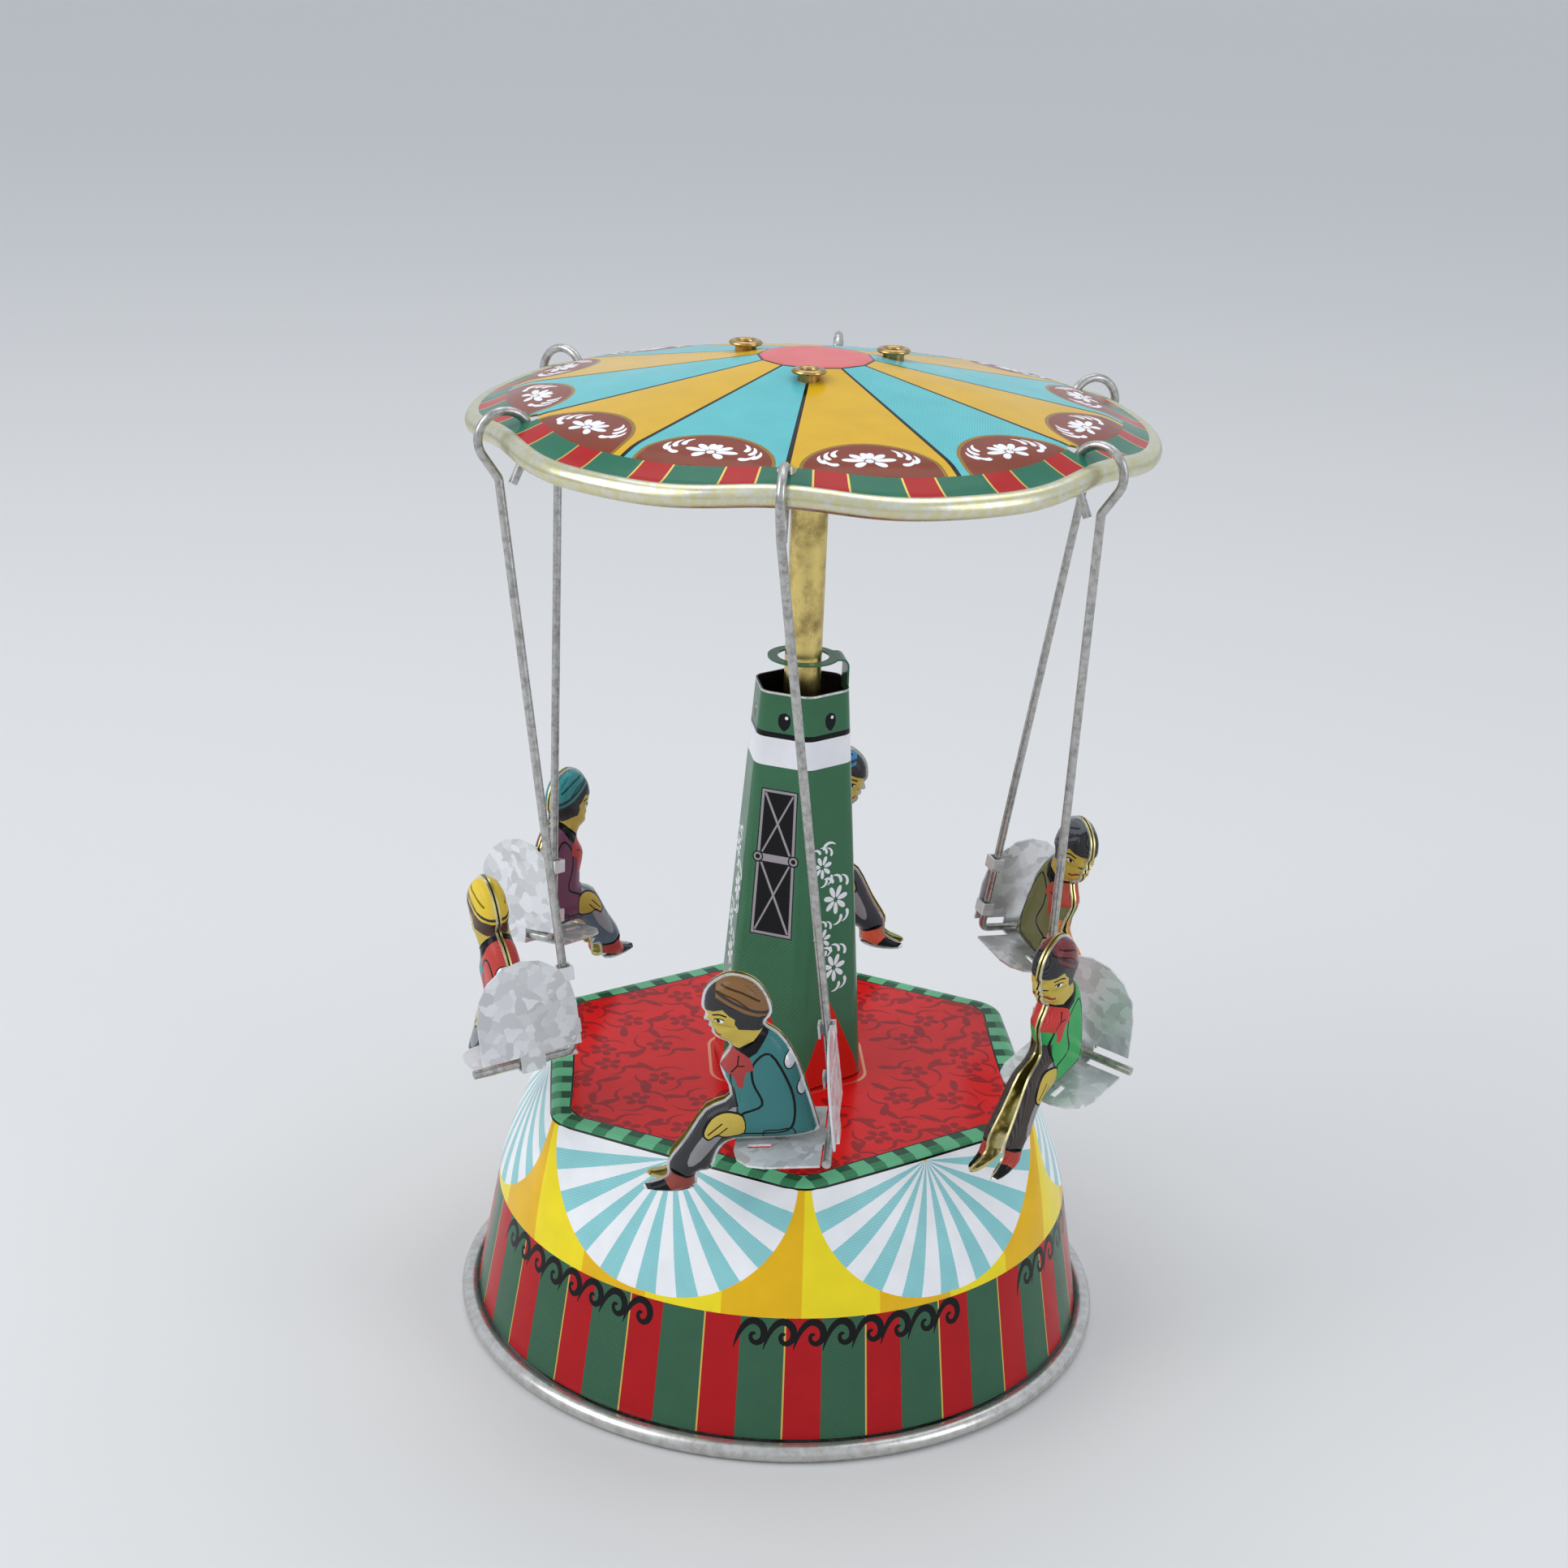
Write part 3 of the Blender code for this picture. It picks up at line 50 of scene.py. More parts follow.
# --- Drum base ---------------------------------------------------------------------------
# One sheet of tinplate, printed flat and then drawn to shape: a striped skirt, six sloping
# panels with fans of rays, and a hexagonal red deck inside a checked border. The print
# repeats at each corner of the deck, and the sheet's back is bare.
BASE_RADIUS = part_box("base_shell")[1][0] / MM
DECK_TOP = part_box("base_shell")[1][2] / MM
BEAD_RADIUS = 1.5
SKIRT_FOOT = 2 * BEAD_RADIUS - 0.1  # the skirt tucks in behind the bead
SKIRT_TOP = 22.7
SKIRT_LEAN = 6.4
SKIRT_TOP_RADIUS = BASE_RADIUS - SKIRT_LEAN
DECK_CORNER = BASE_RADIUS - 9.3
DECK_ROUNDING = 6.0
DECK_HOLE = 4.2
DECK_SHOULDER = 1.2  # where the deck starts to bend down, inside its edge
WALL_TOP = 42.9
BEND_LENGTH = 1.7
SLOPE_POWER = 1.35
SHEET_TIN = 0.35
SECTOR = math.radians(60)
CUT_TOLERANCE = 1e-5


def polar(radius, azimuth, height=0.0):
    """A point at an azimuth measured from the front towards the right."""
    return Vector((radius * math.sin(azimuth), -radius * math.cos(azimuth), height))


def hexagon_radius(azimuth, corner, rounding):
    """Radius of a hexagon with rounded corners, one of them at azimuth 0."""
    half = SECTOR / 2
    turn = abs((azimuth + half) % SECTOR - half)
    centre = corner - rounding / math.cos(half)
    tangent = math.atan2(rounding * 0.5, centre + rounding * math.cos(half))
    if turn < tangent:
        across = centre * math.sin(turn)
        return centre * math.cos(turn) + math.sqrt(rounding**2 - across**2)
    return corner * math.cos(half) / math.cos(half - turn)


def wall_radius(azimuth, height):
    """Outside of the wall: a cone below, turning into the deck's hexagon above."""
    if height <= SKIRT_TOP:
        share = (height - 2 * BEAD_RADIUS) / (SKIRT_TOP - 2 * BEAD_RADIUS)
        foot = BASE_RADIUS - 2 * BEAD_RADIUS
        return foot + (SKIRT_TOP_RADIUS - foot) * share
    share = ((height - SKIRT_TOP) / (DECK_TOP - SKIRT_TOP)) ** SLOPE_POWER
    corner = hexagon_radius(azimuth, DECK_CORNER, DECK_ROUNDING)
    return SKIRT_TOP_RADIUS + (corner - SKIRT_TOP_RADIUS) * share


def deck_edge(azimuth, inset=DECK_SHOULDER):
    return hexagon_radius(azimuth, DECK_CORNER, DECK_ROUNDING) - inset


def on_wall(azimuth, height):
    """The flat sheet's point that ends up at this azimuth and height on the wall."""
    reach = deck_edge(azimuth) + BEND_LENGTH + WALL_TOP - height
    return polar(reach, azimuth).to_2d()


def drawn_base(flat):
    """Where a point of the flat sheet lies once the base is drawn."""
    azimuth, reach = math.atan2(flat[0], -flat[1]), math.hypot(flat[0], flat[1])
    start = deck_edge(azimuth)
    if reach <= start:
        return Vector((flat[0], flat[1], DECK_TOP))
    share = (reach - start) / BEND_LENGTH
    if share < 1:
        corner = polar(start + DECK_SHOULDER, azimuth, DECK_TOP)
        first = polar(start, azimuth, DECK_TOP).lerp(corner, share)
        last = corner.lerp(polar(wall_radius(azimuth, WALL_TOP), azimuth, WALL_TOP), share)
        return first.lerp(last, share)
    height = WALL_TOP - (reach - start - BEND_LENGTH)
    return polar(wall_radius(azimuth, height), azimuth, height)


def inside(spots, path):
    """Which of the spots lie inside a closed path."""
    start = np.array([tuple(point)[:2] for point in path])
    end = np.roll(start, -1, axis=0)
    near = np.flatnonzero(((spots >= start.min(0)) & (spots <= start.max(0))).all(1))
    x, y = spots[near, :1], spots[near, 1:]
    spans = (start[:, 1] > y) != (end[:, 1] > y)
    rise = np.where(end[:, 1] == start[:, 1], 1.0, end[:, 1] - start[:, 1])
    beyond = start[:, 0] + (y - start[:, 1]) * (end[:, 0] - start[:, 0]) / rise > x
    found = np.zeros(len(spots), bool)
    found[near[(spans & beyond).sum(1) % 2 == 1]] = True
    return found


def cut_sheet(outline, shapes, lines):
    """Cuts a flat sheet along its outline, its printed shapes and its bend lines.

    Shapes are (ink, closed path), each printed over the ones before it; a hole is cut out.
    Returns the points, the triangles and each triangle's ink, None where nothing is printed.
    """
    points, edges = [], []
    paths = [(outline, True)] + [(path, True) for _, path in shapes]
    for path, closed in paths + [(path, False) for path in lines]:
        first = len(points)
        points += [Vector(point).to_2d() for point in path]
        edges += [(n, n + 1) for n in range(first, len(points) - 1)]
        if closed:
            edges.append((len(points) - 1, first))
    cut = delaunay_2d_cdt(points, edges, [], 0, CUT_TOLERANCE, False)
    places = np.array([tuple(point) for point in cut[0]])
    triangles = np.array(cut[2])
    middles = places[triangles].mean(axis=1)
    kept = inside(middles, outline)
    triangles, middles = triangles[kept], middles[kept]
    inks = np.full(len(triangles), None, object)
    for ink, path in shapes:
        inks[inside(middles, path)] = ink
    there = inks != "hole"
    return places, triangles[there], inks[there]


def sheet_mesh(name, cut, place, finishes):
    """The cut sheet put in place. finishes are its materials by ink, the bare one at None."""
    places, triangles, inks = cut
    mesh = bpy.data.meshes.new(name)
    mesh.from_pydata([place(point) * MM for point in places], [], triangles.tolist())
    order = list(finishes)
    for finish in finishes.values():
        mesh.materials.append(finish)
    numbers = [order.index(ink) for ink in inks]
    mesh.polygons.foreach_set("material_index", numbers)
    corners = mesh.uv_layers.new(name="print")
    corners.data.foreach_set("uv", (places[triangles.reshape(-1)] / 100).reshape(-1))
    mesh.shade_smooth()
    bm = bmesh.new()
    bm.from_mesh(mesh)
    bmesh.ops.delete(bm, geom=[v for v in bm.verts if not v.link_faces], context="VERTS")
    bm.to_mesh(mesh)
    bm.free()
    return mesh


def shape_object(name, data):
    made = bpy.data.objects.new(name, data)
    bpy.context.scene.collection.objects.link(made)
    return made


def new_tree(name, kind, inputs, outputs):
    """A node group with named sockets. Returns it, its input node and its output node."""
    tree = bpy.data.node_groups.new(name, kind)
    for label, socket in inputs.items():
        tree.interface.new_socket(name=label, in_out="INPUT", socket_type=socket)
    for label, socket in outputs.items():
        tree.interface.new_socket(name=label, in_out="OUTPUT", socket_type=socket)
    return tree, tree.nodes.new("NodeGroupInput"), tree.nodes.new("NodeGroupOutput")


def wired(tree, kind, **given):
    """Adds a node. given holds its settings and its inputs, as values or other nodes' sockets."""
    node = tree.nodes.new(kind)
    for label, value in given.items():
        socket = node.inputs.get(label.replace("_", " "))
        if socket is None:
            setattr(node, label, value)
        elif isinstance(value, bpy.types.NodeSocket):
            tree.links.new(value, socket)
        else:
            socket.default_value = value
    return node


def math_node(tree, operation, *values):
    """A Math node with its values or sockets in order."""
    node = tree.nodes.new("ShaderNodeMath")
    node.operation = operation
    for socket, value in zip(node.inputs, values):
        if isinstance(value, bpy.types.NodeSocket):
            tree.links.new(value, socket)
        else:
            socket.default_value = value
    return node.outputs[0]


def ring_of_sheets():
    """Geometry Nodes: copies of a sheet round the upright axis, welded, with a back to them."""
    tree, given, result = new_tree(
        "ring of sheets", "GeometryNodeTree",
        {"Sheet": "NodeSocketGeometry", "Copies": "NodeSocketInt", "Turn": "NodeSocketFloat",
         "Thickness": "NodeSocketFloat", "Weld": "NodeSocketFloat",
         "Back": "NodeSocketMaterial"},
        {"Tinplate": "NodeSocketGeometry"})
    index = tree.nodes.new("GeometryNodeInputIndex").outputs[0]
    step = math_node(tree, "DIVIDE", math.tau, given.outputs["Copies"])
    turn = math_node(tree, "MULTIPLY_ADD", index, step, given.outputs["Turn"])
    spin = wired(tree, "ShaderNodeCombineXYZ", Z=turn).outputs[0]
    spots = wired(tree, "GeometryNodePoints", Count=given.outputs["Copies"]).outputs[0]
    copies = wired(tree, "GeometryNodeInstanceOnPoints", Points=spots,
                   Instance=given.outputs["Sheet"], Rotation=spin).outputs[0]
    whole = wired(tree, "GeometryNodeRealizeInstances", Geometry=copies).outputs[0]
    face = wired(tree, "GeometryNodeMergeByDistance", Geometry=whole,
                 Distance=given.outputs["Weld"]).outputs[0]
    depth = math_node(tree, "MULTIPLY", given.outputs["Thickness"], -1.0)
    back = wired(tree, "GeometryNodeExtrudeMesh", Mesh=face, Offset_Scale=depth, Individual=False)
    flipped = wired(tree, "GeometryNodeFlipFaces", Mesh=back.outputs["Mesh"]).outputs[0]
    bare = wired(tree, "GeometryNodeSetMaterial", Geometry=flipped,
                 Material=given.outputs["Back"]).outputs[0]
    join = tree.nodes.new("GeometryNodeJoinGeometry")
    tree.links.new(bare, join.inputs[0])
    tree.links.new(face, join.inputs[0])
    closed = wired(tree, "GeometryNodeMergeByDistance", Geometry=join.outputs[0],
                   Distance=given.outputs["Weld"]).outputs[0]
    tree.links.new(closed, result.inputs[0])
    return tree


def built(name, data, tree, settings, sharp=35):
    """Runs a Geometry Nodes tree on some data and returns a plain object with the result."""
    working = shape_object(name + "_working", data)
    change = working.modifiers.new("build", "NODES")
    change.node_group = tree
    for socket in tree.interface.items_tree:
        if socket.in_out == "INPUT" and socket.name in settings:
            change[socket.identifier] = settings[socket.name]
    graph = bpy.context.evaluated_depsgraph_get()
    mesh = bpy.data.meshes.new_from_object(working.evaluated_get(graph))
    bpy.data.objects.remove(working)
    mesh.name = name
    mesh.shade_smooth()
    mesh.set_sharp_from_angle(angle=math.radians(sharp))
    return shape_object(name, mesh)


def blended(tree, share, first, second):
    """A mix of two colour sockets."""
    node = wired(tree, "ShaderNodeMix", data_type="RGBA", Factor=share)
    colours = [socket for socket in node.inputs if socket.type == "RGBA"]
    for socket, source in zip(colours, (first, second)):
        tree.links.new(source, socket)
    return next(socket for socket in node.outputs if socket.type == "RGBA")


def litho_print():
    """Shader group: ink under varnish, with its halftone screen and slight unevenness."""
    tree, given, result = new_tree(
        "litho print", "ShaderNodeTree",
        {"Ink": "NodeSocketColor", "Screen Ink": "NodeSocketColor",
         "Screen": "NodeSocketFloat", "Lines per mm": "NodeSocketFloat"},
        {"Colour": "NodeSocketColor", "Roughness": "NodeSocketFloat",
         "Height": "NodeSocketFloat"})
    place = wired(tree, "ShaderNodeUVMap", uv_map="print").outputs[0]
    apart = wired(tree, "ShaderNodeSeparateXYZ", Vector=place)
    # the sheet's own coordinates are in tenths of a metre
    rate = math_node(tree, "MULTIPLY", given.outputs["Lines per mm"], 100 * math.tau)
    across = math_node(tree, "MULTIPLY", apart.outputs[0], rate)
    along = math_node(tree, "MULTIPLY", apart.outputs[1], rate)
    left = math_node(tree, "SINE", math_node(tree, "MULTIPLY_ADD", along, 0.6, across))
    right = math_node(tree, "SINE", math_node(tree, "MULTIPLY_ADD", across, -0.6, along))
    dots = math_node(tree, "MULTIPLY_ADD", math_node(tree, "ADD", left, right), 0.4, 0.5)
    amount = math_node(tree, "MULTIPLY", dots, given.outputs["Screen"])
    amount.node.use_clamp = True
    inked = blended(tree, amount, given.outputs["Ink"], given.outputs["Screen Ink"])
    solid = tree.nodes.new("ShaderNodeTexCoord").outputs["Object"]
    cloud = wired(tree, "ShaderNodeTexNoise", Vector=solid, Scale=180.0, Detail=3.0).outputs[0]
    shade = math_node(tree, "MULTIPLY_ADD", cloud, 0.24, 0.88)
    tone = wired(tree, "ShaderNodeHueSaturation", Value=shade, Color=inked)
    smear = wired(tree, "ShaderNodeTexNoise", Vector=solid, Scale=70.0, Detail=5.0,
                  Roughness=0.7).outputs[0]
    rough = wired(tree, "ShaderNodeMapRange", Value=smear, From_Min=0.35, From_Max=0.75,
                  To_Min=0.16, To_Max=0.34).outputs[0]
    peel = wired(tree, "ShaderNodeTexNoise", Vector=solid, Scale=420.0, Detail=2.0).outputs[0]
    tree.links.new(tone.outputs[0], result.inputs["Colour"])
    tree.links.new(rough, result.inputs["Roughness"])
    tree.links.new(peel, result.inputs["Height"])
    return tree


PRINT_GROUP = litho_print()


def surfaced(name, sources, dent, depth, **constants):
    """A material fed by colour, roughness and height sockets. sources gets its node tree."""
    made = bpy.data.materials.new(name)
    made.use_nodes = True
    tree = made.node_tree
    shader = tree.nodes["Principled BSDF"]
    colour, rough, height = sources(tree)
    tree.links.new(colour, shader.inputs["Base Color"])
    tree.links.new(rough, shader.inputs["Roughness"])
    bump = wired(tree, "ShaderNodeBump", Height=height, Strength=dent, Distance=depth * MM)
    tree.links.new(bump.outputs[0], shader.inputs["Normal"])
    for label, value in constants.items():
        shader.inputs[label.replace("_", " ")].default_value = value
    return made


def from_group(group_tree, **values):
    """Sources for a material: a shader group's three outputs, with its inputs set."""
    def sources(tree):
        return wired(tree, "ShaderNodeGroup", node_tree=group_tree, **values).outputs
    return sources


def printed(name, ink, screen_ink=None, screen=0.0, lines=2.2, metallic=0.0):
    """A litho ink under clear varnish, with a second ink in fine dots over it."""
    sources = from_group(PRINT_GROUP, Ink=(*ink, 1), Screen_Ink=(*(screen_ink or ink), 1),
                         Screen=screen, Lines_per_mm=lines)
    return surfaced(name, sources, 0.12, 0.05, Metallic=metallic, Specular_IOR_Level=0.1,
                    Coat_Weight=0.1, Coat_Roughness=0.09)


def aged_metal():
    """Shader group: metal with darker spots, smears and fine scratches."""
    tree, given, result = new_tree(
        "aged metal", "ShaderNodeTree",
        {"Bright": "NodeSocketColor", "Dull": "NodeSocketColor", "Spots": "NodeSocketFloat",
         "Smear": "NodeSocketFloat", "Finest": "NodeSocketFloat", "Roughest": "NodeSocketFloat"},
        {"Colour": "NodeSocketColor", "Roughness": "NodeSocketFloat",
         "Height": "NodeSocketFloat"})
    solid = tree.nodes.new("ShaderNodeTexCoord").outputs["Object"]
    spots = wired(tree, "ShaderNodeTexNoise", Vector=solid, Scale=given.outputs["Spots"],
                  Detail=6.0, Roughness=0.65).outputs[0]
    where = wired(tree, "ShaderNodeMapRange", Value=spots, From_Min=0.42,
                  From_Max=0.68).outputs[0]
    tint = blended(tree, where, given.outputs["Bright"], given.outputs["Dull"])
    smear = wired(tree, "ShaderNodeTexNoise", Vector=solid, Scale=given.outputs["Smear"],
                  Detail=4.0).outputs[0]
    rough = wired(tree, "ShaderNodeMapRange", Value=smear, From_Min=0.3, From_Max=0.7,
                  To_Min=given.outputs["Finest"], To_Max=given.outputs["Roughest"]).outputs[0]
    tree.links.new(tint, result.inputs["Colour"])
    tree.links.new(rough, result.inputs["Roughness"])
    tree.links.new(spots, result.inputs["Height"])
    return tree


METAL_GROUP = aged_metal()


def metal(name, bright, dull, spots=900.0, smear=300.0, finest=0.18, roughest=0.42, dent=0.15,
          metallic=1.0):
    """A bare or lacquered metal; oxide takes away from its metallic value."""
    sources = from_group(METAL_GROUP, Bright=(*bright, 1), Dull=(*dull, 1), Spots=spots,
                         Smear=smear, Finest=finest, Roughest=roughest)
    return surfaced(name, sources, dent, 0.1, Metallic=metallic)


def arc(centre, radius, start, end, steps):
    """Points on an arc in the plane, angles in degrees from the first axis."""
    turns = [math.radians(start + (end - start) * n / steps) for n in range(steps + 1)]
    return [(centre[0] + radius * math.cos(t), centre[1] + radius * math.sin(t)) for t in turns]


def stroke(path, widths):
    """A brush stroke along a path, as wide at each point as widths says."""
    left, right = [], []
    for n, point in enumerate(path):
        before, after = Vector(path[max(n - 1, 0)]), Vector(path[min(n + 1, len(path) - 1)])
        way = (after - before).normalized()
        side = Vector((-way.y, way.x)) * widths[n] / 2
        left.append(tuple(Vector(point) + side))
        right.append(tuple(Vector(point) - side))
    return left + right[::-1]


def printed_line(path, width):
    """A line of even width that follows a path."""
    return stroke(path, [width] * len(path))


def between(first, last, count):
    return [first + (last - first) * n / count for n in range(count + 1)]


bare_tin = metal("bare_tin", (0.74, 0.73, 0.7), (0.45, 0.44, 0.42))
BASE_INKS = {
    None: bare_tin,
    "light green": printed("light_green_ink", (0.14, 0.47, 0.25), (0.08, 0.33, 0.17), 0.35),
    "dark green": printed("dark_green_ink", (0.012, 0.05, 0.025), (0.04, 0.2, 0.1), 0.35),
    "mid green": printed("mid_green_ink", (0.035, 0.18, 0.08), (0.08, 0.34, 0.17), 0.4),
    "black": printed("black_ink", (0.006, 0.006, 0.007)),
    "deck red": printed("deck_red_ink", (0.68, 0.008, 0.008), (0.54, 0.006, 0.006), 0.4),
    "deck shade": printed("deck_shade_ink", (0.36, 0.006, 0.008), (0.2, 0.005, 0.006), 0.6),
    # painted highlight: the lit edge round the tower's foot, as a metallic copper-coloured ink
    "copper": printed("copper_line_ink", (0.75, 0.3, 0.15), metallic=0.8),
    "gold": printed("golden_yellow_ink", (0.78, 0.47, 0.012), (0.66, 0.33, 0.01), 0.45),
    "yellow": printed("bright_yellow_ink", (0.82, 0.68, 0.02), (0.82, 0.56, 0.015), 0.3),
    "white": printed("white_ink", (0.82, 0.82, 0.84), (0.7, 0.72, 0.75), 0.2),
    "teal": printed("fan_teal_ink", (0.2, 0.52, 0.54), (0.45, 0.7, 0.72), 0.4),
    "skirt red": printed("skirt_red_ink", (0.42, 0.008, 0.012), (0.3, 0.007, 0.009), 0.4),
    "skirt green": printed("skirt_green_ink", (0.024, 0.085, 0.046), (0.075, 0.18, 0.105), 0.5),
    "gold line": printed("gold_line_ink", (0.62, 0.45, 0.1), metallic=0.4),
}

# the checked border: two rows of blocks along each edge, light ones at the corners
BORDER_WIDTH = 3.3
BLOCK_PITCH = 5.6
DARK_BLOCK = 2.5
EDGE_LINE = 0.3
across_edge = DECK_CORNER * math.cos(SECTOR / 2)


def on_edge(side, along, inward):
    """A flat point beside a deck edge: along it from its middle, and inward from it."""
    middle = side * SECTOR / 2
    out = Vector((math.sin(middle), -math.cos(middle)))
    way = Vector((math.cos(middle), math.sin(middle)))
    return out * (across_edge - inward) + way * along


# printed lines run past the sector on both sides, and a shape over its middle runs past that
PAST_SECTOR = 0.7
PAST_MIDDLE = (0.0, 1.0)


def deck_line(inset):
    """The deck's outline, this far inside its edge."""
    return [polar(deck_edge(a, inset), a).to_2d() for a in between(-PAST_SECTOR, PAST_SECTOR, 80)]


def wall_line(height):
    return [on_wall(a, height) for a in between(-PAST_SECTOR, PAST_SECTOR, 80)]


base_shapes = [("deck red", [*deck_line(0.0), PAST_MIDDLE])]


def petal(centre, turn, length, width, start=0.0, steps=8):
    """A petal or a leaf that points away from its centre."""
    way, side = Vector((math.cos(turn), math.sin(turn))), Vector((-math.sin(turn), math.cos(turn)))
    points = []
    for n in range(steps * 2):
        angle = math.pi * n / steps
        along = start + (length - start) * (1 - math.cos(angle)) / 2
        swell = width / 2 * math.sin(angle) * (0.6 + 0.4 * along / length)
        points.append(tuple(Vector(centre) + way * along + side * swell))
    return points


def comma(centre, turn, length, width, curl):
    """A comma stroke: a round head that tapers into a curling tail."""
    path, widths = [], []
    for n in range(9):
        share = n / 8
        bend = turn + curl * share
        path.append(tuple(Vector(centre) + length * share * Vector((math.cos(bend), math.sin(bend)))))
        widths.append(width * (1.0 - share) ** 0.7 * min(1.0, 0.45 + share * 3) + 0.08)
    return stroke(path, widths)


# darker flowers, leaves and tendrils strewn over the red deck
sprig_places = [(-9.5, -35.0, 0.3), (8.5, -36.5, 2.6), (0.5, -30.0, 1.4), (-13.0, -27.5, 4.1),
                (13.0, -28.5, 0.9), (-4.0, -22.5, 2.2), (6.5, -21.0, 5.0), (0.0, -39.5, 3.5)]
for x, y, turn in sprig_places:
    for n in range(5):
        base_shapes.append(("deck shade", petal((x, y), turn + n * math.tau / 5, 2.4, 1.7, 0.4)))
    for n, length in ((0, 4.6), (1, 3.8), (2, 4.2)):
        away = turn + 0.7 + n * 2.1
        start = (x + 2.7 * math.cos(away), y + 2.7 * math.sin(away))
        base_shapes.append(("deck shade", petal(start, away + 0.5, length, 1.7)))
        base_shapes.append(("deck shade", comma(start, away - 0.7, length * 1.1, 0.8, -1.1)))

for inset, ink in ((BORDER_WIDTH + EDGE_LINE, "black"), (BORDER_WIDTH, "light green")):
    base_shapes.append((ink, wall_line(WALL_TOP - 1) + deck_line(inset)[::-1]))
for side in (-1, 1):
    for number in range(8):
        left = (number - 3.5) * BLOCK_PITCH - DARK_BLOCK / 2
        for ink, low, high in (("mid green", -2.6, 1.6), ("dark green", 1.6, BORDER_WIDTH)):
            block = [on_edge(side, left, low), on_edge(side, left + DARK_BLOCK, low),
                     on_edge(side, left + DARK_BLOCK, high), on_edge(side, left, high)]
            base_shapes.append((ink, block))

# a painted highlight round the tower's foot: a thin copper-coloured line on the deck for the lit edge
# where the tower stands
FOOT_CORNER = 13.6
for reach, ink in ((FOOT_CORNER + 1.7, "copper"), (FOOT_CORNER + 1.15, "deck red")):
    turns = between(-math.radians(34), math.radians(34), 40)
    line = [polar(hexagon_radius(a, reach, 4.5), a).to_2d() for a in turns]
    base_shapes.append((ink, [*line, PAST_MIDDLE]))

# the wall: yellow panels, then the fans over them
PANEL = math.radians(15)
PANEL_TOP = WALL_TOP + 0.25
base_shapes.append(("black", wall_line(WALL_TOP - 1) + wall_line(PANEL_TOP + EDGE_LINE)[::-1]))
for number in range(-3, 3):
    turns = between(number * PANEL, (number + 1) * PANEL, 10)
    panel = [on_wall(a, PANEL_TOP) for a in turns] + [on_wall(a, SKIRT_TOP) for a in turns[::-1]]
    base_shapes.append(("gold" if number % 2 else "yellow", panel))
FAN_RADIUS = 21.6
FAN_RAYS = 19


def on_fan(middle, across, down):
    """A point of a fan, measured from the middle of the deck's edge across and down."""
    share = min(down / FAN_RADIUS, 1.0)
    turn = math.atan(across / across_edge) * (1 - share) + across / (SKIRT_TOP_RADIUS - 1) * share
    lean = 1.11 - 0.08 * min(abs(across) / FAN_RADIUS, 1.0)
    return on_wall(middle + turn, PANEL_TOP - down / lean)


for middle in (-SECTOR / 2, SECTOR / 2):
    for ray in range(FAN_RAYS):
        start, end = (math.pi * (ray + n) / FAN_RAYS for n in (0, 1))
        ends = [(math.cos(t), math.sin(t)) for t in between(start, end, 4)]
        reaches = between(0.25, FAN_RADIUS, 9)
        outline = [on_fan(middle, r * ends[0][0], r * ends[0][1]) for r in reaches]
        outline += [on_fan(middle, FAN_RADIUS * x, FAN_RADIUS * y) for x, y in ends[1:]]
        outline += [on_fan(middle, r * ends[-1][0], r * ends[-1][1]) for r in reaches[-2::-1]]
        base_shapes.append(("teal" if ray % 2 else "white", outline))

# the skirt: red and green stripes with a thin gold line on the left of each red one
STRIPE_PITCH = math.radians(15)
RED_HALF = math.radians(3.3)
LINE_WIDTH = math.radians(0.3)


def stripe(left, right, top, foot, steps=4):
    turns = between(left, right, steps)
    return [on_wall(a, top) for a in turns] + [on_wall(a, foot) for a in turns[::-1]]


base_shapes.append(("skirt green", stripe(-PAST_SECTOR, PAST_SECTOR, SKIRT_TOP, SKIRT_FOOT - 1, 60)))
for number in range(-3, 4):
    centre = number * STRIPE_PITCH + math.radians(0.6)
    left, right = centre - RED_HALF, centre + RED_HALF
    base_shapes.append(("gold line", stripe(left - LINE_WIDTH, left, SKIRT_TOP, SKIRT_FOOT - 1)))
    base_shapes.append(("skirt red", stripe(left, right, SKIRT_TOP, SKIRT_FOOT - 1)))

# a black running scroll hangs under the yellow, eight waves to each corner of the deck
WAVE_PITCH = math.radians(5.45)
WAVE_START = math.radians(-12.1)
WAVE = ((-0.1, -5.2), (0.35, -3.6), (1.1, -1.9), (2.2, -0.75), (3.35, -0.65), (4.25, -1.35),
        (4.6, -2.5), (4.3, -3.6), (3.5, -4.15), (2.75, -3.85), (2.5, -3.1), (2.8, -2.6),
        (3.25, -2.7))
WAVE_WIDTHS = (0.1, 0.5, 0.85, 1.1, 1.2, 1.2, 1.1, 1.0, 0.9, 0.75, 0.65, 0.6, 0.4)


def smoothed(points, steps=3):
    """A rounder path through some points."""
    made = []
    count = len(points)
    for n in range(count - 1):
        a, b = points[max(n - 1, 0)], points[n]
        c, d = points[n + 1], points[min(n + 2, count - 1)]
        for step in range(steps):
            t = step / steps
            made.append(tuple(0.5 * (2 * q + (r - p) * t + (2 * p - 5 * q + 4 * r - s) * t**2
                                     + (3 * q - p - 3 * r + s) * t**3)
                              for p, q, r, s in zip(a, b, c, d)))
    return made + [tuple(points[-1])]


wave_path = smoothed([(x, y, w) for (x, y), w in zip(WAVE, WAVE_WIDTHS)], 2)
wave = stroke([point[:2] for point in wave_path], [point[2] for point in wave_path])
for number in range(-5, 13):
    if number % 11 > 7:
        continue
    turn = WAVE_START + (number % 11) * WAVE_PITCH + (number // 11) * SECTOR
    base_shapes.append(("black", [on_wall(turn + x / SKIRT_TOP_RADIUS, SKIRT_TOP + y)
                                  for x, y in wave]))

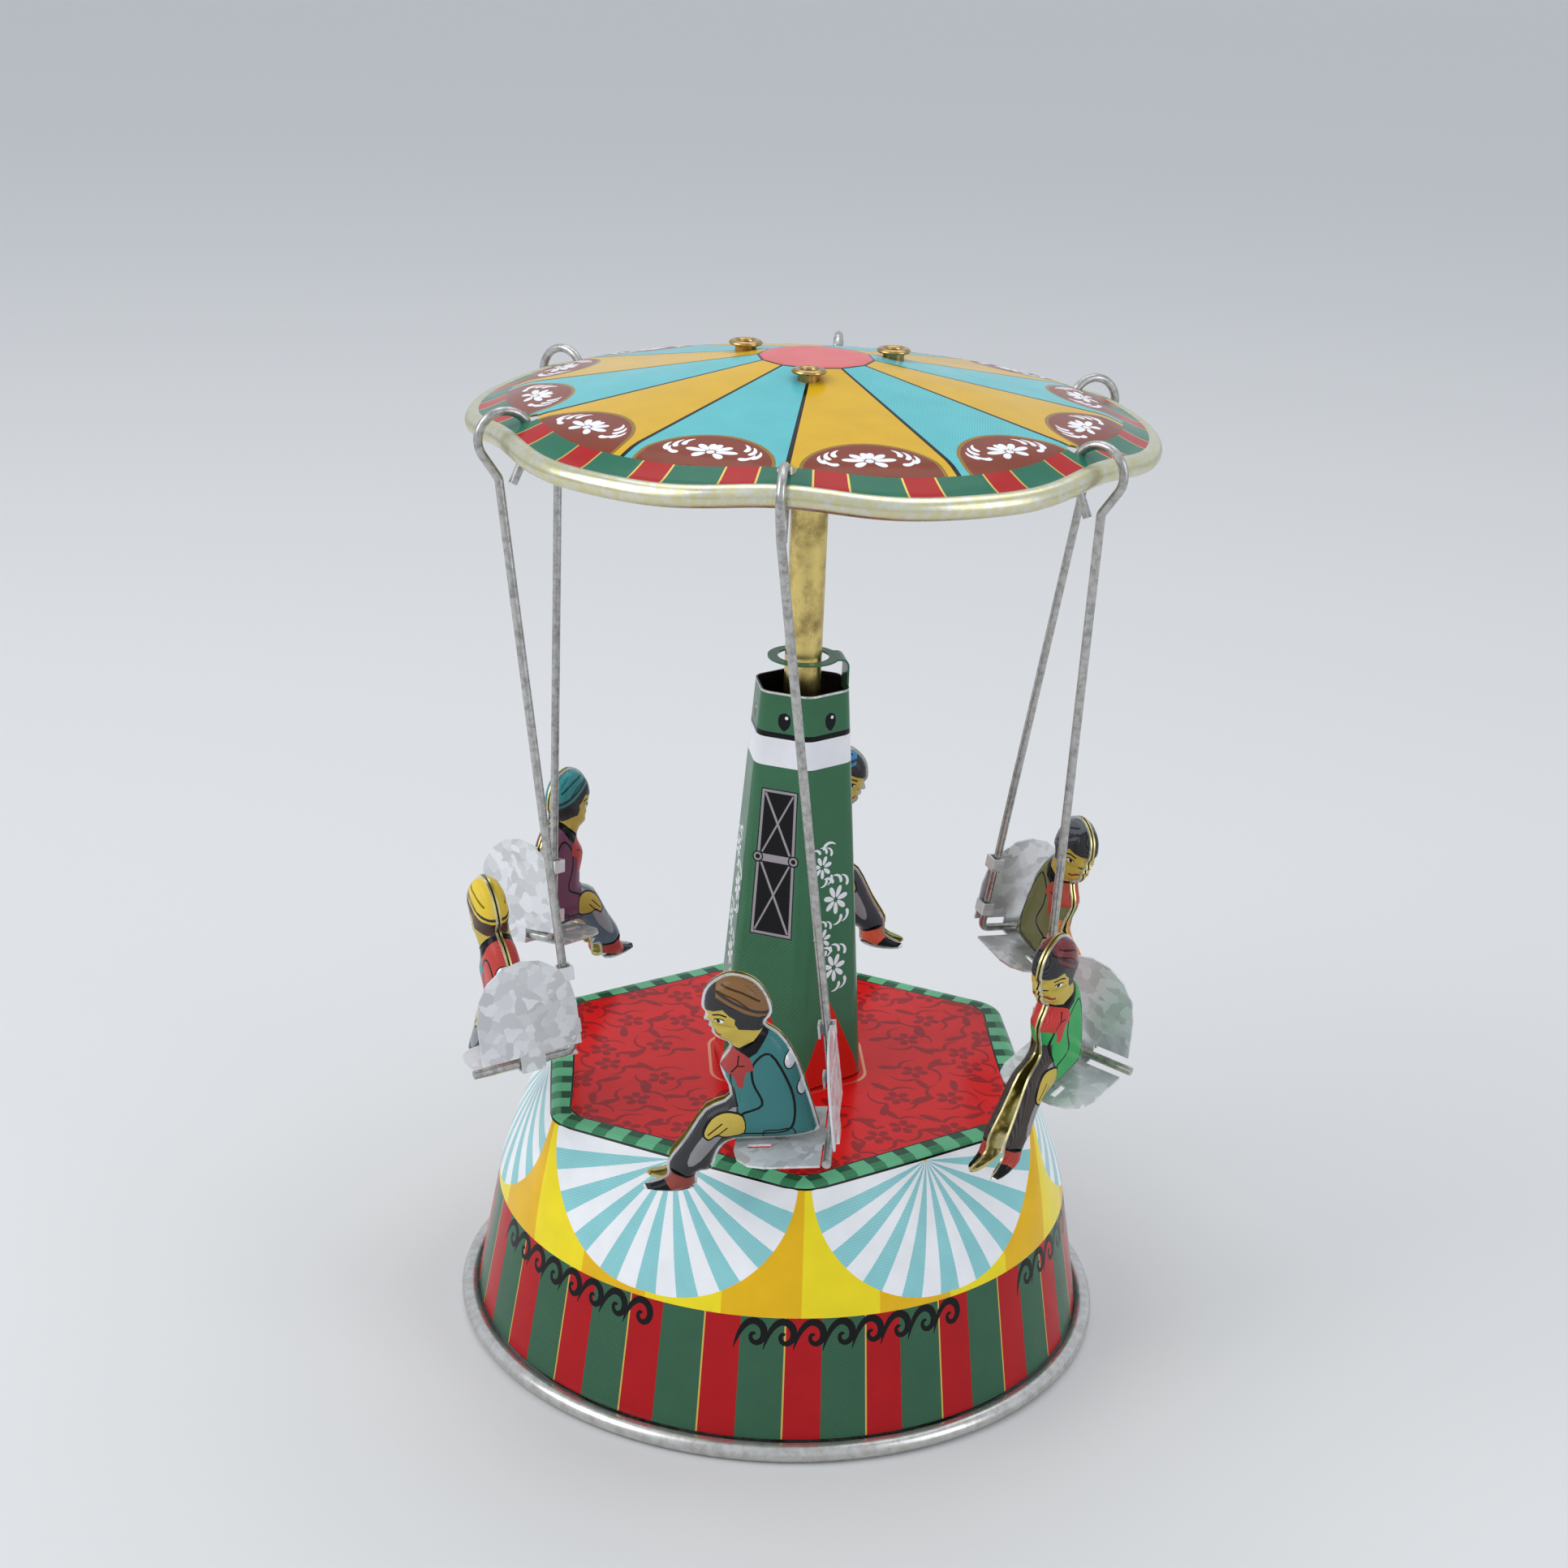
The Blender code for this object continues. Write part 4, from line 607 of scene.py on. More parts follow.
sector_turns = between(-SECTOR / 2, SECTOR / 2, 40)
sheet_outline = [polar(DECK_HOLE, a).to_2d() for a in between(SECTOR / 2, -SECTOR / 2, 6)]
sheet_outline += [on_wall(a, SKIRT_FOOT) for a in sector_turns]
WALL_ROWS = (40, 37, 34, 31, 28, 25, SKIRT_TOP, 19, 15, 11, 7)
bend_rows = [[polar(deck_edge(a) + BEND_LENGTH * share, a).to_2d() for a in sector_turns]
             for share in (0.0, 0.25, 0.5, 0.75, 1.0)]
bend_rows += [[on_wall(a, height) for a in sector_turns] for height in WALL_ROWS]
base_cut = cut_sheet(sheet_outline, base_shapes, bend_rows)
sheet_tree = ring_of_sheets()
base_sheet = built("printed_base", sheet_mesh("base_sector", base_cut, drawn_base, BASE_INKS),
                   sheet_tree, {"Copies": 6, "Turn": 0.0, "Thickness": SHEET_TIN * MM,
                                "Weld": 5e-6, "Back": bare_tin})
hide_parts("base_shell")
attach(base_sheet, "root")


# --- Rolled bead of the base ---------------------------------------------------------------
# The skirt's lower edge is rolled into a round bead, bare because the print stops above it.
def skinned(name, rings, finish, sharp=40, looped=True):
    """A mesh over rings of points, each joined to the next, with flat ends unless looped."""
    bm = bmesh.new()
    rows = [[bm.verts.new(Vector(point) * MM) for point in ring] for ring in rings]
    for here, there in zip(rows, rows[1:] + rows[:1] if looped else rows[1:]):
        for k in range(len(here)):
            after = (k + 1) % len(here)
            bm.faces.new((here[k], here[after], there[after], there[k]))
    if not looped:
        bm.faces.new(rows[0][::-1])
        bm.faces.new(rows[-1])
    bmesh.ops.recalc_face_normals(bm, faces=bm.faces)
    mesh = bpy.data.meshes.new(name)
    bm.to_mesh(mesh)
    bm.free()
    mesh.materials.append(finish)
    mesh.shade_smooth()
    mesh.set_sharp_from_angle(angle=math.radians(sharp))
    return shape_object(name, mesh)


def turned(name, profile, steps, finish):
    """A ring turned from a closed profile of (radius, height) points."""
    return skinned(name, [[polar(r, math.tau * n / steps, z) for r, z in profile]
                          for n in range(steps)], finish)


bead_tin = metal("bead_tin", (0.6, 0.59, 0.57), (0.44, 0.42, 0.39), spots=600.0, smear=160.0,
                 finest=0.2, roughest=0.34, dent=0.08, metallic=0.85)
bead_profile = arc((BASE_RADIUS - BEAD_RADIUS, BEAD_RADIUS), BEAD_RADIUS, 0, 345, 23)
base_bead = turned("base_bead", bead_profile, 192, bead_tin)
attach(base_bead, "root")


# --- Tower -------------------------------------------------------------------------------
# A tapered hexagonal tower folded from one printed sheet, with windows and garlands on
# alternate faces and red darts at its foot. A strap at its top folds over to the ring that
# steadies the tube.
TOWER_LENGTH = 67.5
TOWER_TOP = DECK_TOP + TOWER_LENGTH
TOWER_FOOT = DECK_TOP + 0.3
TOWER_TOP_CORNER = 8.3
TOWER_ROUNDING = 2.6
TOWER_TURN = math.radians(5)
TOWER_TIN = 0.3
UNROLLED_RADIUS = 10.0  # the flat print's width stands for a turn at this radius
FACE = math.radians(60)


def tower_corner(height):
    share = (height - TOWER_FOOT) / (TOWER_TOP - TOWER_FOOT)
    return FOOT_CORNER + (TOWER_TOP_CORNER - FOOT_CORNER) * share


def folded_tower(flat):
    """Where a point of the flat print lies on the tower, before the tower is turned."""
    azimuth, corner = flat[0] / UNROLLED_RADIUS, tower_corner(flat[1])
    rounding = TOWER_ROUNDING * corner / TOWER_TOP_CORNER
    return polar(hexagon_radius(azimuth, corner, rounding), azimuth, flat[1])


def on_face(face, across, height):
    """The flat point at a distance across from the middle of face 0 or 1, at a height."""
    apothem = tower_corner(height) * math.cos(FACE / 2)
    return ((face - 0.5) * FACE + math.atan(across / apothem)) * UNROLLED_RADIUS, height


def print_on_face(face, ink, path):
    """Adds a printed shape to a face of the tower."""
    tower_shapes.append((ink, [on_face(face, x, z) for x, z in path]))


def fine(path, step=1.5, closed=True):
    """The same path with extra points, so that it can follow a bend."""
    made = []
    pairs = list(zip(path, path[1:] + path[:1])) if closed else list(zip(path, path[1:]))
    for a, b in pairs:
        count = max(1, round(math.dist(a, b) / step))
        made += [(a[0] + (b[0] - a[0]) * n / count, a[1] + (b[1] - a[1]) * n / count)
                 for n in range(count)]
    return made if closed else made + [path[-1]]


def bar(start, end, width):
    """A straight line that can follow a bend."""
    return printed_line(fine([start, end], closed=False), width)


TOWER_INKS = {
    None: bare_tin,
    "green": printed("tower_green_ink", (0.022, 0.1, 0.045), (0.11, 0.27, 0.16), 0.55, 2.6),
    "black": BASE_INKS["black"],
    "white": printed("tower_white_ink", (0.8, 0.8, 0.84), (0.72, 0.73, 0.78), 0.3),
    "grey": printed("window_grey_ink", (0.4, 0.37, 0.39), (0.2, 0.18, 0.2), 0.8, 3.6),
    "red": printed("dart_red_ink", (0.62, 0.015, 0.01), (0.5, 0.01, 0.008), 0.3),
}
BAND = (99.3, 104.0)
HALF_TURN = FACE * UNROLLED_RADIUS
tower_shapes = [("green", [(-HALF_TURN - 1, TOWER_TOP - 0.35), (HALF_TURN + 1, TOWER_TOP - 0.35),
                           (HALF_TURN + 1, 40.0), (-HALF_TURN - 1, 40.0)])]
for ink, low, high in (("black", BAND[1], BAND[1] + 0.9), ("white", *BAND)):
    tower_shapes.append((ink, [(-HALF_TURN - 1, high), (HALF_TURN + 1, high),
                               (HALF_TURN + 1, low), (-HALF_TURN - 1, low)]))
DART_TOP, DART_FOOT = 58.5, TOWER_FOOT - 1
DOT = smoothed([(0, 108.3), (0.85, 107.9), (1.1, 106.9), (0.75, 105.9), (0, 105.3),
                (-0.75, 105.9), (-1.1, 106.9), (-0.85, 107.9), (0, 108.3)])[:-1]
reach = FOOT_CORNER / 2 - 0.6
for face in (0, 1):
    dart = [(-reach, DART_FOOT), (-reach, DART_FOOT + 2.2), (0, DART_TOP),
            (reach, DART_FOOT + 2.2), (reach, DART_FOOT)]
    print_on_face(face, "red", fine(dart))
    print_on_face(face, "black", DOT)
    shine = [(0.35 + 0.3 * x, 107.5 + 0.28 * y) for x, y in arc((0, 0), 1, 0, 330, 11)]
    print_on_face(face, "white", shine)

# the window: a hatched frame round two crossed braces, with a link bar over its middle
WINDOW_TOP_Z, WINDOW_FOOT_Z, LINK_Z = 95.5, 70.5, 83.8


def window_half(height):
    return 3.15 + 0.55 * (WINDOW_TOP_Z - height) / (WINDOW_TOP_Z - WINDOW_FOOT_Z)


for inset, ink in ((0.0, "black"), (0.18, "grey"), (0.62, "black")):
    top, foot = WINDOW_TOP_Z - inset, WINDOW_FOOT_Z + inset
    corners = [(-window_half(top) + inset, top), (window_half(top) - inset, top),
               (window_half(foot) - inset, foot), (-window_half(foot) + inset, foot)]
    print_on_face(0, ink, fine(corners))
for top, foot in ((WINDOW_TOP_Z - 0.8, LINK_Z + 0.5), (LINK_Z - 0.5, WINDOW_FOOT_Z + 0.8)):
    for side in (-1, 1):
        start, end = (side * (window_half(top) - 0.8), top), (-side * (window_half(foot) - 0.8), foot)
        print_on_face(0, "grey", bar(start, end, 0.3 if side > 0 else 0.38))
print_on_face(0, "black", bar((-3.5, LINK_Z), (3.5, LINK_Z), 1.75))
print_on_face(0, "grey", bar((-3.3, LINK_Z), (3.3, LINK_Z), 1.25))
for side in (-1, 1):
    for radius, ink in ((0.95, "black"), (0.72, "grey"), (0.4, "black")):
        disc = arc((side * 3.1, LINK_Z), radius, 0, 345, 23)
        print_on_face(0, ink, disc)

# the garland: white daisies and comma strokes
for x, z, size in ((-1.7, 82.5, 0.9), (1.1, 76.4, 1.15), (-1.8, 70.0, 0.85), (0.7, 64.6, 1.1)):
    for n in range(7):
        turn = math.tau * (n + 0.25) / 7
        leaf = petal((x, z), turn, 2.2 * size, 0.95 * size, 0.4)
        print_on_face(1, "white", leaf)
    for turn, curl, far in ((1.2, 1.2, 2.6), (0.75, 1.3, 2.7), (-1.2, -1.2, 2.6),
                            (-0.75, -1.3, 2.7), (1.75, 0.9, 2.6)):
        start = (x + far * size * math.cos(turn), z + far * size * math.sin(turn))
        tail = comma(start, turn, 1.9 * size, 0.62 * size, curl)
        print_on_face(1, "white", tail)
print_on_face(1, "white", comma((-1.4, 85.4), 1.5, 2.6, 0.7, -1.3))

edge_steps = between(-HALF_TURN, HALF_TURN, 60)
tower_outline = [(x, TOWER_TOP) for x in edge_steps] + [(x, TOWER_FOOT) for x in edge_steps[::-1]]
tower_rows = [[(x, z) for x in edge_steps] for z in (50, 58, 66, 74, 82, 90, 98, 106)]
for face in (-1, 0, 1):
    for turn in (-15, -10, -7, -3.5, 0, 3.5, 7, 10, 15):
        x = face * HALF_TURN + math.radians(turn) * UNROLLED_RADIUS
        if abs(x) < HALF_TURN:
            tower_rows.append([(x, TOWER_FOOT), (x, TOWER_TOP)])
tower_cut = cut_sheet(tower_outline, tower_shapes, tower_rows)
# painted shade: the inside of the tower gets a near-black finish for the dark hollow seen under its top
painted_shade_inside = metal("tower_inside_painted_shade", (0.09, 0.08, 0.07), (0.03, 0.03, 0.03), finest=0.4)
tower_sheet = built("printed_tower", sheet_mesh("tower_sector", tower_cut, folded_tower, TOWER_INKS),
                    sheet_tree, {"Copies": 3, "Turn": TOWER_TURN, "Thickness": TOWER_TIN * MM,
                                 "Weld": 5e-6, "Back": painted_shade_inside})
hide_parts("tower")
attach(tower_sheet, "root")

RING_RISE = 4.5
RING_Z = TOWER_TOP + RING_RISE
RING_HOLE, RING_WIDTH, STRAP_WIDTH, STRAP_LAP = 4.2, 1.6, 5.0, 1.5
ring_profile = [(RING_HOLE, RING_Z - TOWER_TIN), (RING_HOLE, RING_Z),
                (RING_HOLE + RING_WIDTH, RING_Z), (RING_HOLE + RING_WIDTH, RING_Z - TOWER_TIN)]
guide_ring = turned("guide_ring", ring_profile, 64, TOWER_INKS["green"])
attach(guide_ring, "root")


wall_out = TOWER_TOP_CORNER * math.cos(FACE / 2)
FOLD_RADIUS = 1.3
strap_spine = [(wall_out + 0.02, TOWER_TOP - STRAP_LAP), (wall_out, RING_Z - FOLD_RADIUS)]
strap_spine += arc((wall_out - FOLD_RADIUS, RING_Z - FOLD_RADIUS), FOLD_RADIUS, 10, 90, 8)
strap_spine += [(RING_HOLE + RING_WIDTH / 2, RING_Z + 0.01)]
strap_rings = []
for n, (out, up) in enumerate(strap_spine):
    before, after = strap_spine[max(n - 1, 0)], strap_spine[min(n + 1, len(strap_spine) - 1)]
    way = Vector((after[0] - before[0], after[1] - before[1])).normalized()
    under = (out - way.y * TOWER_TIN, up + way.x * TOWER_TIN)
    strap_rings.append([(out, -STRAP_WIDTH / 2, up), (out, STRAP_WIDTH / 2, up),
                        (under[0], STRAP_WIDTH / 2, under[1]), (under[0], -STRAP_WIDTH / 2, under[1])])
guide_strap = skinned("guide_strap", strap_rings, TOWER_INKS["green"], 35, looped=False)
guide_strap.data.transform(Matrix.Rotation(TOWER_TURN, 4, "Z"))
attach(guide_strap, "root")


# --- Drive tube ----------------------------------------------------------------------------
# A brass-lacquered tin tube, worn dark in streaks, that carries the canopy round.
TUBE_RADIUS = 3.0
TUBE_WALL = 0.4
tube_low, tube_high = (corner[2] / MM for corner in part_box("drive_tube"))
EASE = 0.15
tube_profile = [(TUBE_RADIUS - TUBE_WALL, tube_low), (TUBE_RADIUS - EASE, tube_low),
                (TUBE_RADIUS, tube_low + EASE), (TUBE_RADIUS, tube_high - EASE),
                (TUBE_RADIUS - EASE, tube_high), (TUBE_RADIUS - TUBE_WALL, tube_high)]
tube_brass = metal("tube_brass", (0.72, 0.56, 0.2), (0.3, 0.22, 0.08), spots=260.0, smear=90.0,
                   finest=0.18, roughest=0.4, dent=0.2)
drive_tube = turned("worn_tube", tube_profile, 64, tube_brass)
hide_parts("drive_tube")
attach(drive_tube, "rotor")


# --- Canopy --------------------------------------------------------------------------------
# One printed sheet, stamped to a shallow cone whose edge dips at the six hangers. Twelve
# yellow and turquoise panels carry brown medallions with daisies above a checked rim. The
# underside and the rolled edge are lacquered gold.
CANOPY_RISE = 52.9
APEX = TOWER_TOP + CANOPY_RISE
CROWN_RADIUS = 8.8
SHOULDER_RADIUS, SHOULDER_DROP = 44.0, 6.3
RIM_NOTCH, RIM_LOBE = 50.8, 52.6
NOTCH_DROP, LOBE_DROP = 9.9, 11.1
RIM_BEAD = 1.7
ROTOR_PHASE = math.radians(-9)
CANOPY_TIN = 0.35
EDGE_INSET = 0.35  # the sheet meets the rolled edge this far inside the top of the roll


def canopy_rim(turn):
    """Radius and height of the roll's centre, at a turn from a hanger."""
    share = ((1 + math.cos(6 * turn)) / 2) ** 2
    return (RIM_LOBE + (RIM_NOTCH - RIM_LOBE) * share,
            APEX - LOBE_DROP + (LOBE_DROP - NOTCH_DROP) * share)


def stamped_canopy(flat):
    """Where a point of the flat print lies once the canopy is stamped."""
    turn, radius = math.atan2(flat[0], -flat[1]), math.hypot(flat[0], flat[1])
    slope = -SHOULDER_DROP / (SHOULDER_RADIUS - CROWN_RADIUS)
    if radius <= SHOULDER_RADIUS:
        return polar(radius, turn, APEX + slope * max(radius - CROWN_RADIUS, 0))
    rim, height = canopy_rim(turn)
    length = rim - EDGE_INSET - SHOULDER_RADIUS
    share = min((radius - SHOULDER_RADIUS) / length, 1.0)
    start, end = APEX - SHOULDER_DROP, height + RIM_BEAD - 0.1
    up = ((2 * share**3 - 3 * share**2 + 1) * start + (share**3 - 2 * share**2 + share) * slope * length
          + (3 * share**2 - 2 * share**3) * end + (share**3 - share**2) * -0.25 * length)
    return polar(radius, turn, up)


def canopy_edge(turn):
    return canopy_rim(turn)[0] - EDGE_INSET


CANOPY_INKS = {
    None: bare_tin,
    "coral": printed("coral_ink", (0.62, 0.06, 0.06), (0.7, 0.16, 0.15), 0.4),
    "yellow": printed("panel_yellow_ink", (0.592, 0.336, 0.0064), (0.688, 0.448, 0.032), 0.5),
    "turquoise": printed("turquoise_ink", (0.07, 0.4, 0.43), (0.2, 0.56, 0.58), 0.45),
    "shadow": printed("medallion_shadow_ink", (0.32, 0.19, 0.02), (0.14, 0.06, 0.01), 0.6),
    "brown": printed("medallion_brown_ink", (0.17, 0.03, 0.014), (0.3, 0.07, 0.03), 0.45, 2.8),
    "white": BASE_INKS["white"],
    "black": BASE_INKS["black"],
    "green": printed("rim_green_ink", (0.016, 0.12, 0.07), (0.03, 0.19, 0.11), 0.4),
    "red": printed("rim_red_ink", (0.4, 0.008, 0.008), (0.3, 0.006, 0.006), 0.4),
    "gold line": BASE_INKS["gold line"],
}
PANEL_TURN = math.radians(30)
BAND_DEPTH = 4.3
DIVIDER = 0.75
PANEL_START = 2.0
PAST_EDGE = 1.0
MEDALLION_AT = 47.8
DAISY_AT = 43.6
GOLD_HALF = 0.006  # half of a thin gold line, as a turn


def wedge(left, right, depth, steps=12):
    """A shape between two turns, from past the sheet's edge to this deep inside it."""
    turns = between(left, right, steps)
    outer = [polar(canopy_edge(t) + PAST_EDGE, t).to_2d() for t in turns]
    return outer + [polar(max(canopy_edge(t) - depth, PANEL_START), t).to_2d() for t in turns[::-1]]


def panel_point(middle, across, radius):
    """A flat point beside the middle of a panel."""
    out = Vector((math.sin(middle), -math.cos(middle)))
    return out * radius + Vector((-out.y, out.x)) * across


canopy_shapes = []
for number, ink in ((-2, "yellow"), (-1, "turquoise"), (0, "yellow"), (1, "turquoise")):
    left = number * PANEL_TURN
    canopy_shapes.append((ink, wedge(left, left + PANEL_TURN, RIM_LOBE)))
for side in (-1, 1):
    middle = side * PANEL_TURN / 2
    for grow, ink in ((1.1, "shadow"), (0.55, "brown")):
        canopy_shapes.append((ink, [
            panel_point(middle, (9.7 + grow) * x, MEDALLION_AT - (9.3 + grow) * max(y, -0.3))
            for x, y in arc((0, 0), 1, -20, 200, 44)]))
for number in range(-2, 3):
    turn = number * PANEL_TURN
    line = [panel_point(turn, across * DIVIDER / 2, radius)
            for across, radius in ((-0.55, 7.0), (0.55, 7.0), (1.0, 48.0), (1.0, 53.0),
                                   (-1.0, 53.0), (-1.0, 48.0))]
    canopy_shapes.append(("black", line))

# each medallion's daisy and its comma strokes
def daisy_shape(middle, path, sign=1):
    """Adds a white shape of a medallion, drawn round the daisy's middle."""
    canopy_shapes.append(("white", [panel_point(middle, sign * x, DAISY_AT - y) for x, y in path]))


for side in (-1, 1):
    middle = side * PANEL_TURN / 2
    for turn, length in ((8, 4.0), (42, 3.4), (78, 2.9), (102, 2.9), (138, 3.4), (172, 4.0),
                         (215, 2.8), (325, 2.8)):
        daisy_shape(middle, petal((0, 0), math.radians(turn), length, 1.35, 0.75))
    daisy_shape(middle, arc((0, 0), 0.62, 0, 330, 11))
    for sign in (-1, 1):
        for x, y, turn, length, curl in ((4.6, 1.5, 1.0, 2.5, 0.9), (5.5, 0.6, 0.75, 2.7, 0.9),
                                         (6.3, -0.5, 0.5, 2.7, 0.9), (4.6, -0.9, -0.5, 2.6, 1.3)):
            daisy_shape(middle, comma((x, y), turn, length, 0.95, curl), sign)

# the checked rim, with thin gold lines between its blocks
RIM_PITCH = math.radians(15)
RED_BLOCK = math.radians(6.2)
for number in range(-3, 4):
    centre = number * RIM_PITCH
    left, right = centre - (RIM_PITCH - RED_BLOCK) / 2, centre + (RIM_PITCH - RED_BLOCK) / 2
    for ink, start, end in (("gold line", left - GOLD_HALF, right + GOLD_HALF),
                            ("green", left, right),
                            ("red", right + GOLD_HALF, right + RED_BLOCK - GOLD_HALF)):
        canopy_shapes.append((ink, wedge(start, end, BAND_DEPTH, 6)))

# the crown: a twelve-sided coral panel with a black line round it
for grow, ink in ((0.5, "black"), (0.1, "coral")):
    corners = [polar(CROWN_RADIUS + grow, n * PANEL_TURN).to_2d() for n in range(-3, 4)]
    canopy_shapes.append((ink, [*corners, PAST_MIDDLE]))

CENTRE_HOLE = 0.02
HOOK_HOLE, HOOK_HOLE_RADIUS = RIM_NOTCH - 4.15, 1.4
canopy_shapes.append(("hole", [(HOOK_HOLE_RADIUS * x, HOOK_HOLE_RADIUS * y - HOOK_HOLE)
                               for x, y in arc((0, 0), 1, 0, 345, 23)]))
canopy_turns = between(-PANEL_TURN, PANEL_TURN, 48)
canopy_outline = [polar(CENTRE_HOLE, a).to_2d() for a in between(PANEL_TURN, -PANEL_TURN, 2)]
canopy_outline += [polar(canopy_edge(a), a).to_2d() for a in canopy_turns]
canopy_rows = [[polar(r, a).to_2d() for a in canopy_turns]
               for r in (CROWN_RADIUS, 14, 20, 26, 32, 38, SHOULDER_RADIUS)]
canopy_rows += [[polar(SHOULDER_RADIUS + (canopy_edge(a) - SHOULDER_RADIUS) * share, a).to_2d()
                 for a in canopy_turns] for share in (0.2, 0.4, 0.6, 0.8)]
canopy_cut = cut_sheet(canopy_outline, canopy_shapes, canopy_rows)
gold_lacquer = metal("gold_lacquer", (0.64, 0.56, 0.24), (0.5, 0.44, 0.24), spots=500.0,
                     smear=120.0, finest=0.2, roughest=0.36)
canopy_sheet = built("printed_canopy",
                     sheet_mesh("canopy_sector", canopy_cut, stamped_canopy, CANOPY_INKS),
                     sheet_tree, {"Copies": 6, "Turn": ROTOR_PHASE, "Thickness": CANOPY_TIN * MM,
                                  "Weld": 5e-6, "Back": gold_lacquer})
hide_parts("canopy")
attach(canopy_sheet, "rotor")


# --- Rolled edge of the canopy ---------------------------------------------------------------
# The sheet's edge is rolled under into a bead, gold like the underside, with the lacquer
# rubbed through to the tin in small spots.
rolled_gold = metal("rolled_gold", (0.66, 0.62, 0.36), (0.7, 0.7, 0.66), spots=700.0,
                    smear=140.0, finest=0.2, roughest=0.4, dent=0.25)
ROLL_STEPS, ROLL_SIDES = 288, 20
around = [(math.cos(t), math.sin(t)) for t in between(0, math.tau, ROLL_SIDES)[:-1]]
roll_rings = []
for turn in between(0, math.tau, ROLL_STEPS)[:-1]:
    rim, height = canopy_rim(turn)
    roll_rings.append([polar(rim + RIM_BEAD * x, turn + ROTOR_PHASE, height + RIM_BEAD * y)
                       for x, y in around])
rolled_edge = skinned("rolled_edge", roll_rings, rolled_gold)
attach(rolled_edge, "rotor")


# --- Eyelets -------------------------------------------------------------------------------
# Three brass eyelets rivet the canopy to the spider under it.
EYELET_FLANGE, EYELET_BORE, EYELET_BARREL, EYELET_RIM = 2.7, 1.3, 1.7, 0.5
eyelet_brass = metal("eyelet_brass", (0.5, 0.33, 0.12), (0.26, 0.15, 0.05), spots=600.0,
                     finest=0.16, roughest=0.34)
for number in (1, 2, 3):
    low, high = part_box(f"eyelet_{number}")
    middle = (Vector(low) + Vector(high)) / 2 / MM
    top, foot = high[2] / MM, low[2] / MM
    roll_middle = (EYELET_FLANGE + EYELET_BORE) / 2
    roll_half = (EYELET_FLANGE - EYELET_BORE) / 2
    profile = [(roll_middle + roll_half * x, top - EYELET_RIM + EYELET_RIM * y)
               for x, y in arc((0, 0), 1, 180, 0, 12)]
    profile += [(EYELET_FLANGE - 0.15, top - EYELET_RIM - 0.2), (EYELET_BARREL, top - EYELET_RIM - 0.25),
                (EYELET_BARREL, foot + 0.3), (EYELET_BARREL - 0.1, foot), (EYELET_BORE, foot)]
    eyelet = turned(f"brass_eyelet_{number}", profile, 40, eyelet_brass)
    eyelet.data.transform(Matrix.Translation((middle.x * MM, middle.y * MM, 0)))
    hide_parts(f"eyelet_{number}")
    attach(eyelet, "rotor")


# --- Hanger wires --------------------------------------------------------------------------
# Each swing hangs on one drawn wire: a hook over the rolled edge, a dog-leg, a long leg, and
# a rod bent across under the backrest.
WIRE_RADIUS = 0.7
HOOK_RADIUS = RIM_BEAD + WIRE_RADIUS + 1.75
HOOK_END, HOOK_START = 200.0, -32.0  # degrees round the hook, 0 outwards and 90 up
HOOK_STUB = Vector((-1.3, 0.0, -6.9))
DOG_LEG = Vector((0.9, 0.0, -6.0))
NOTCH_HEIGHT = APEX - NOTCH_DROP
SEAT_ROD = Vector((-8.0, 10.8, DECK_TOP + 13.7 - NOTCH_HEIGHT))  # out, back and up from the hook
BEND_RADIUS = 1.6
SEAT_HALF_WIDTH = 8.25
ROD_FROM_EDGE, ROD_STUB = 1.1, 1.3


def swing_place(number):
    """Matrix of a swing's own frame: its origin in the rolled edge, X outwards and Y back."""
    azimuth = ROTOR_PHASE + (number - 1) * SECTOR
    pivot = polar(RIM_NOTCH, azimuth, NOTCH_HEIGHT)
    return Matrix.Translation(pivot) @ Matrix.Rotation(azimuth - math.pi / 2, 4, "Z")


def seat_frame():
    """Matrix of the seat's frame in the swing's: on the rod, half way across, Z up the leg."""
    up = (DOG_LEG - SEAT_ROD).normalized()
    out = Vector((1, 0, 0))
    out = (out - up * out.dot(up)).normalized()
    axes = Matrix((out, up.cross(out), up)).transposed().to_4x4()
    return Matrix.Translation(SEAT_ROD + out * (SEAT_HALF_WIDTH - ROD_FROM_EDGE)) @ axes


def rounded(corners, radius, steps=8):
    """A path through corners, each inner one rounded."""
    path = [corners[0]]
    for before, corner, after in zip(corners, corners[1:], corners[2:]):
        back, on = (before - corner).normalized(), (after - corner).normalized()
        reach = radius / math.tan(back.angle(on) / 2)
        start, end = corner + back * reach, corner + on * reach
        for share in between(0, 1, steps):
            path.append(start.lerp(corner, share).lerp(corner.lerp(end, share), share))
    return path + [corners[-1]]


def bent_wire():
    """Geometry Nodes: a round wire with flat ends along a line."""
    tree, given, result = new_tree(
        "bent wire", "GeometryNodeTree",
        {"Line": "NodeSocketGeometry", "Radius": "NodeSocketFloat", "Sides": "NodeSocketInt",
         "Finish": "NodeSocketMaterial"},
        {"Wire": "NodeSocketGeometry"})
    circle = wired(tree, "GeometryNodeCurvePrimitiveCircle", Radius=given.outputs["Radius"],
                   Resolution=given.outputs["Sides"]).outputs[0]
    swept = wired(tree, "GeometryNodeCurveToMesh", Curve=given.outputs["Line"],
                  Profile_Curve=circle, Fill_Caps=True).outputs[0]
    whole = wired(tree, "GeometryNodeRealizeInstances", Geometry=swept).outputs[0]
    finished = wired(tree, "GeometryNodeSetMaterial", Geometry=whole,
                     Material=given.outputs["Finish"]).outputs[0]
    tree.links.new(finished, result.inputs[0])
    return tree


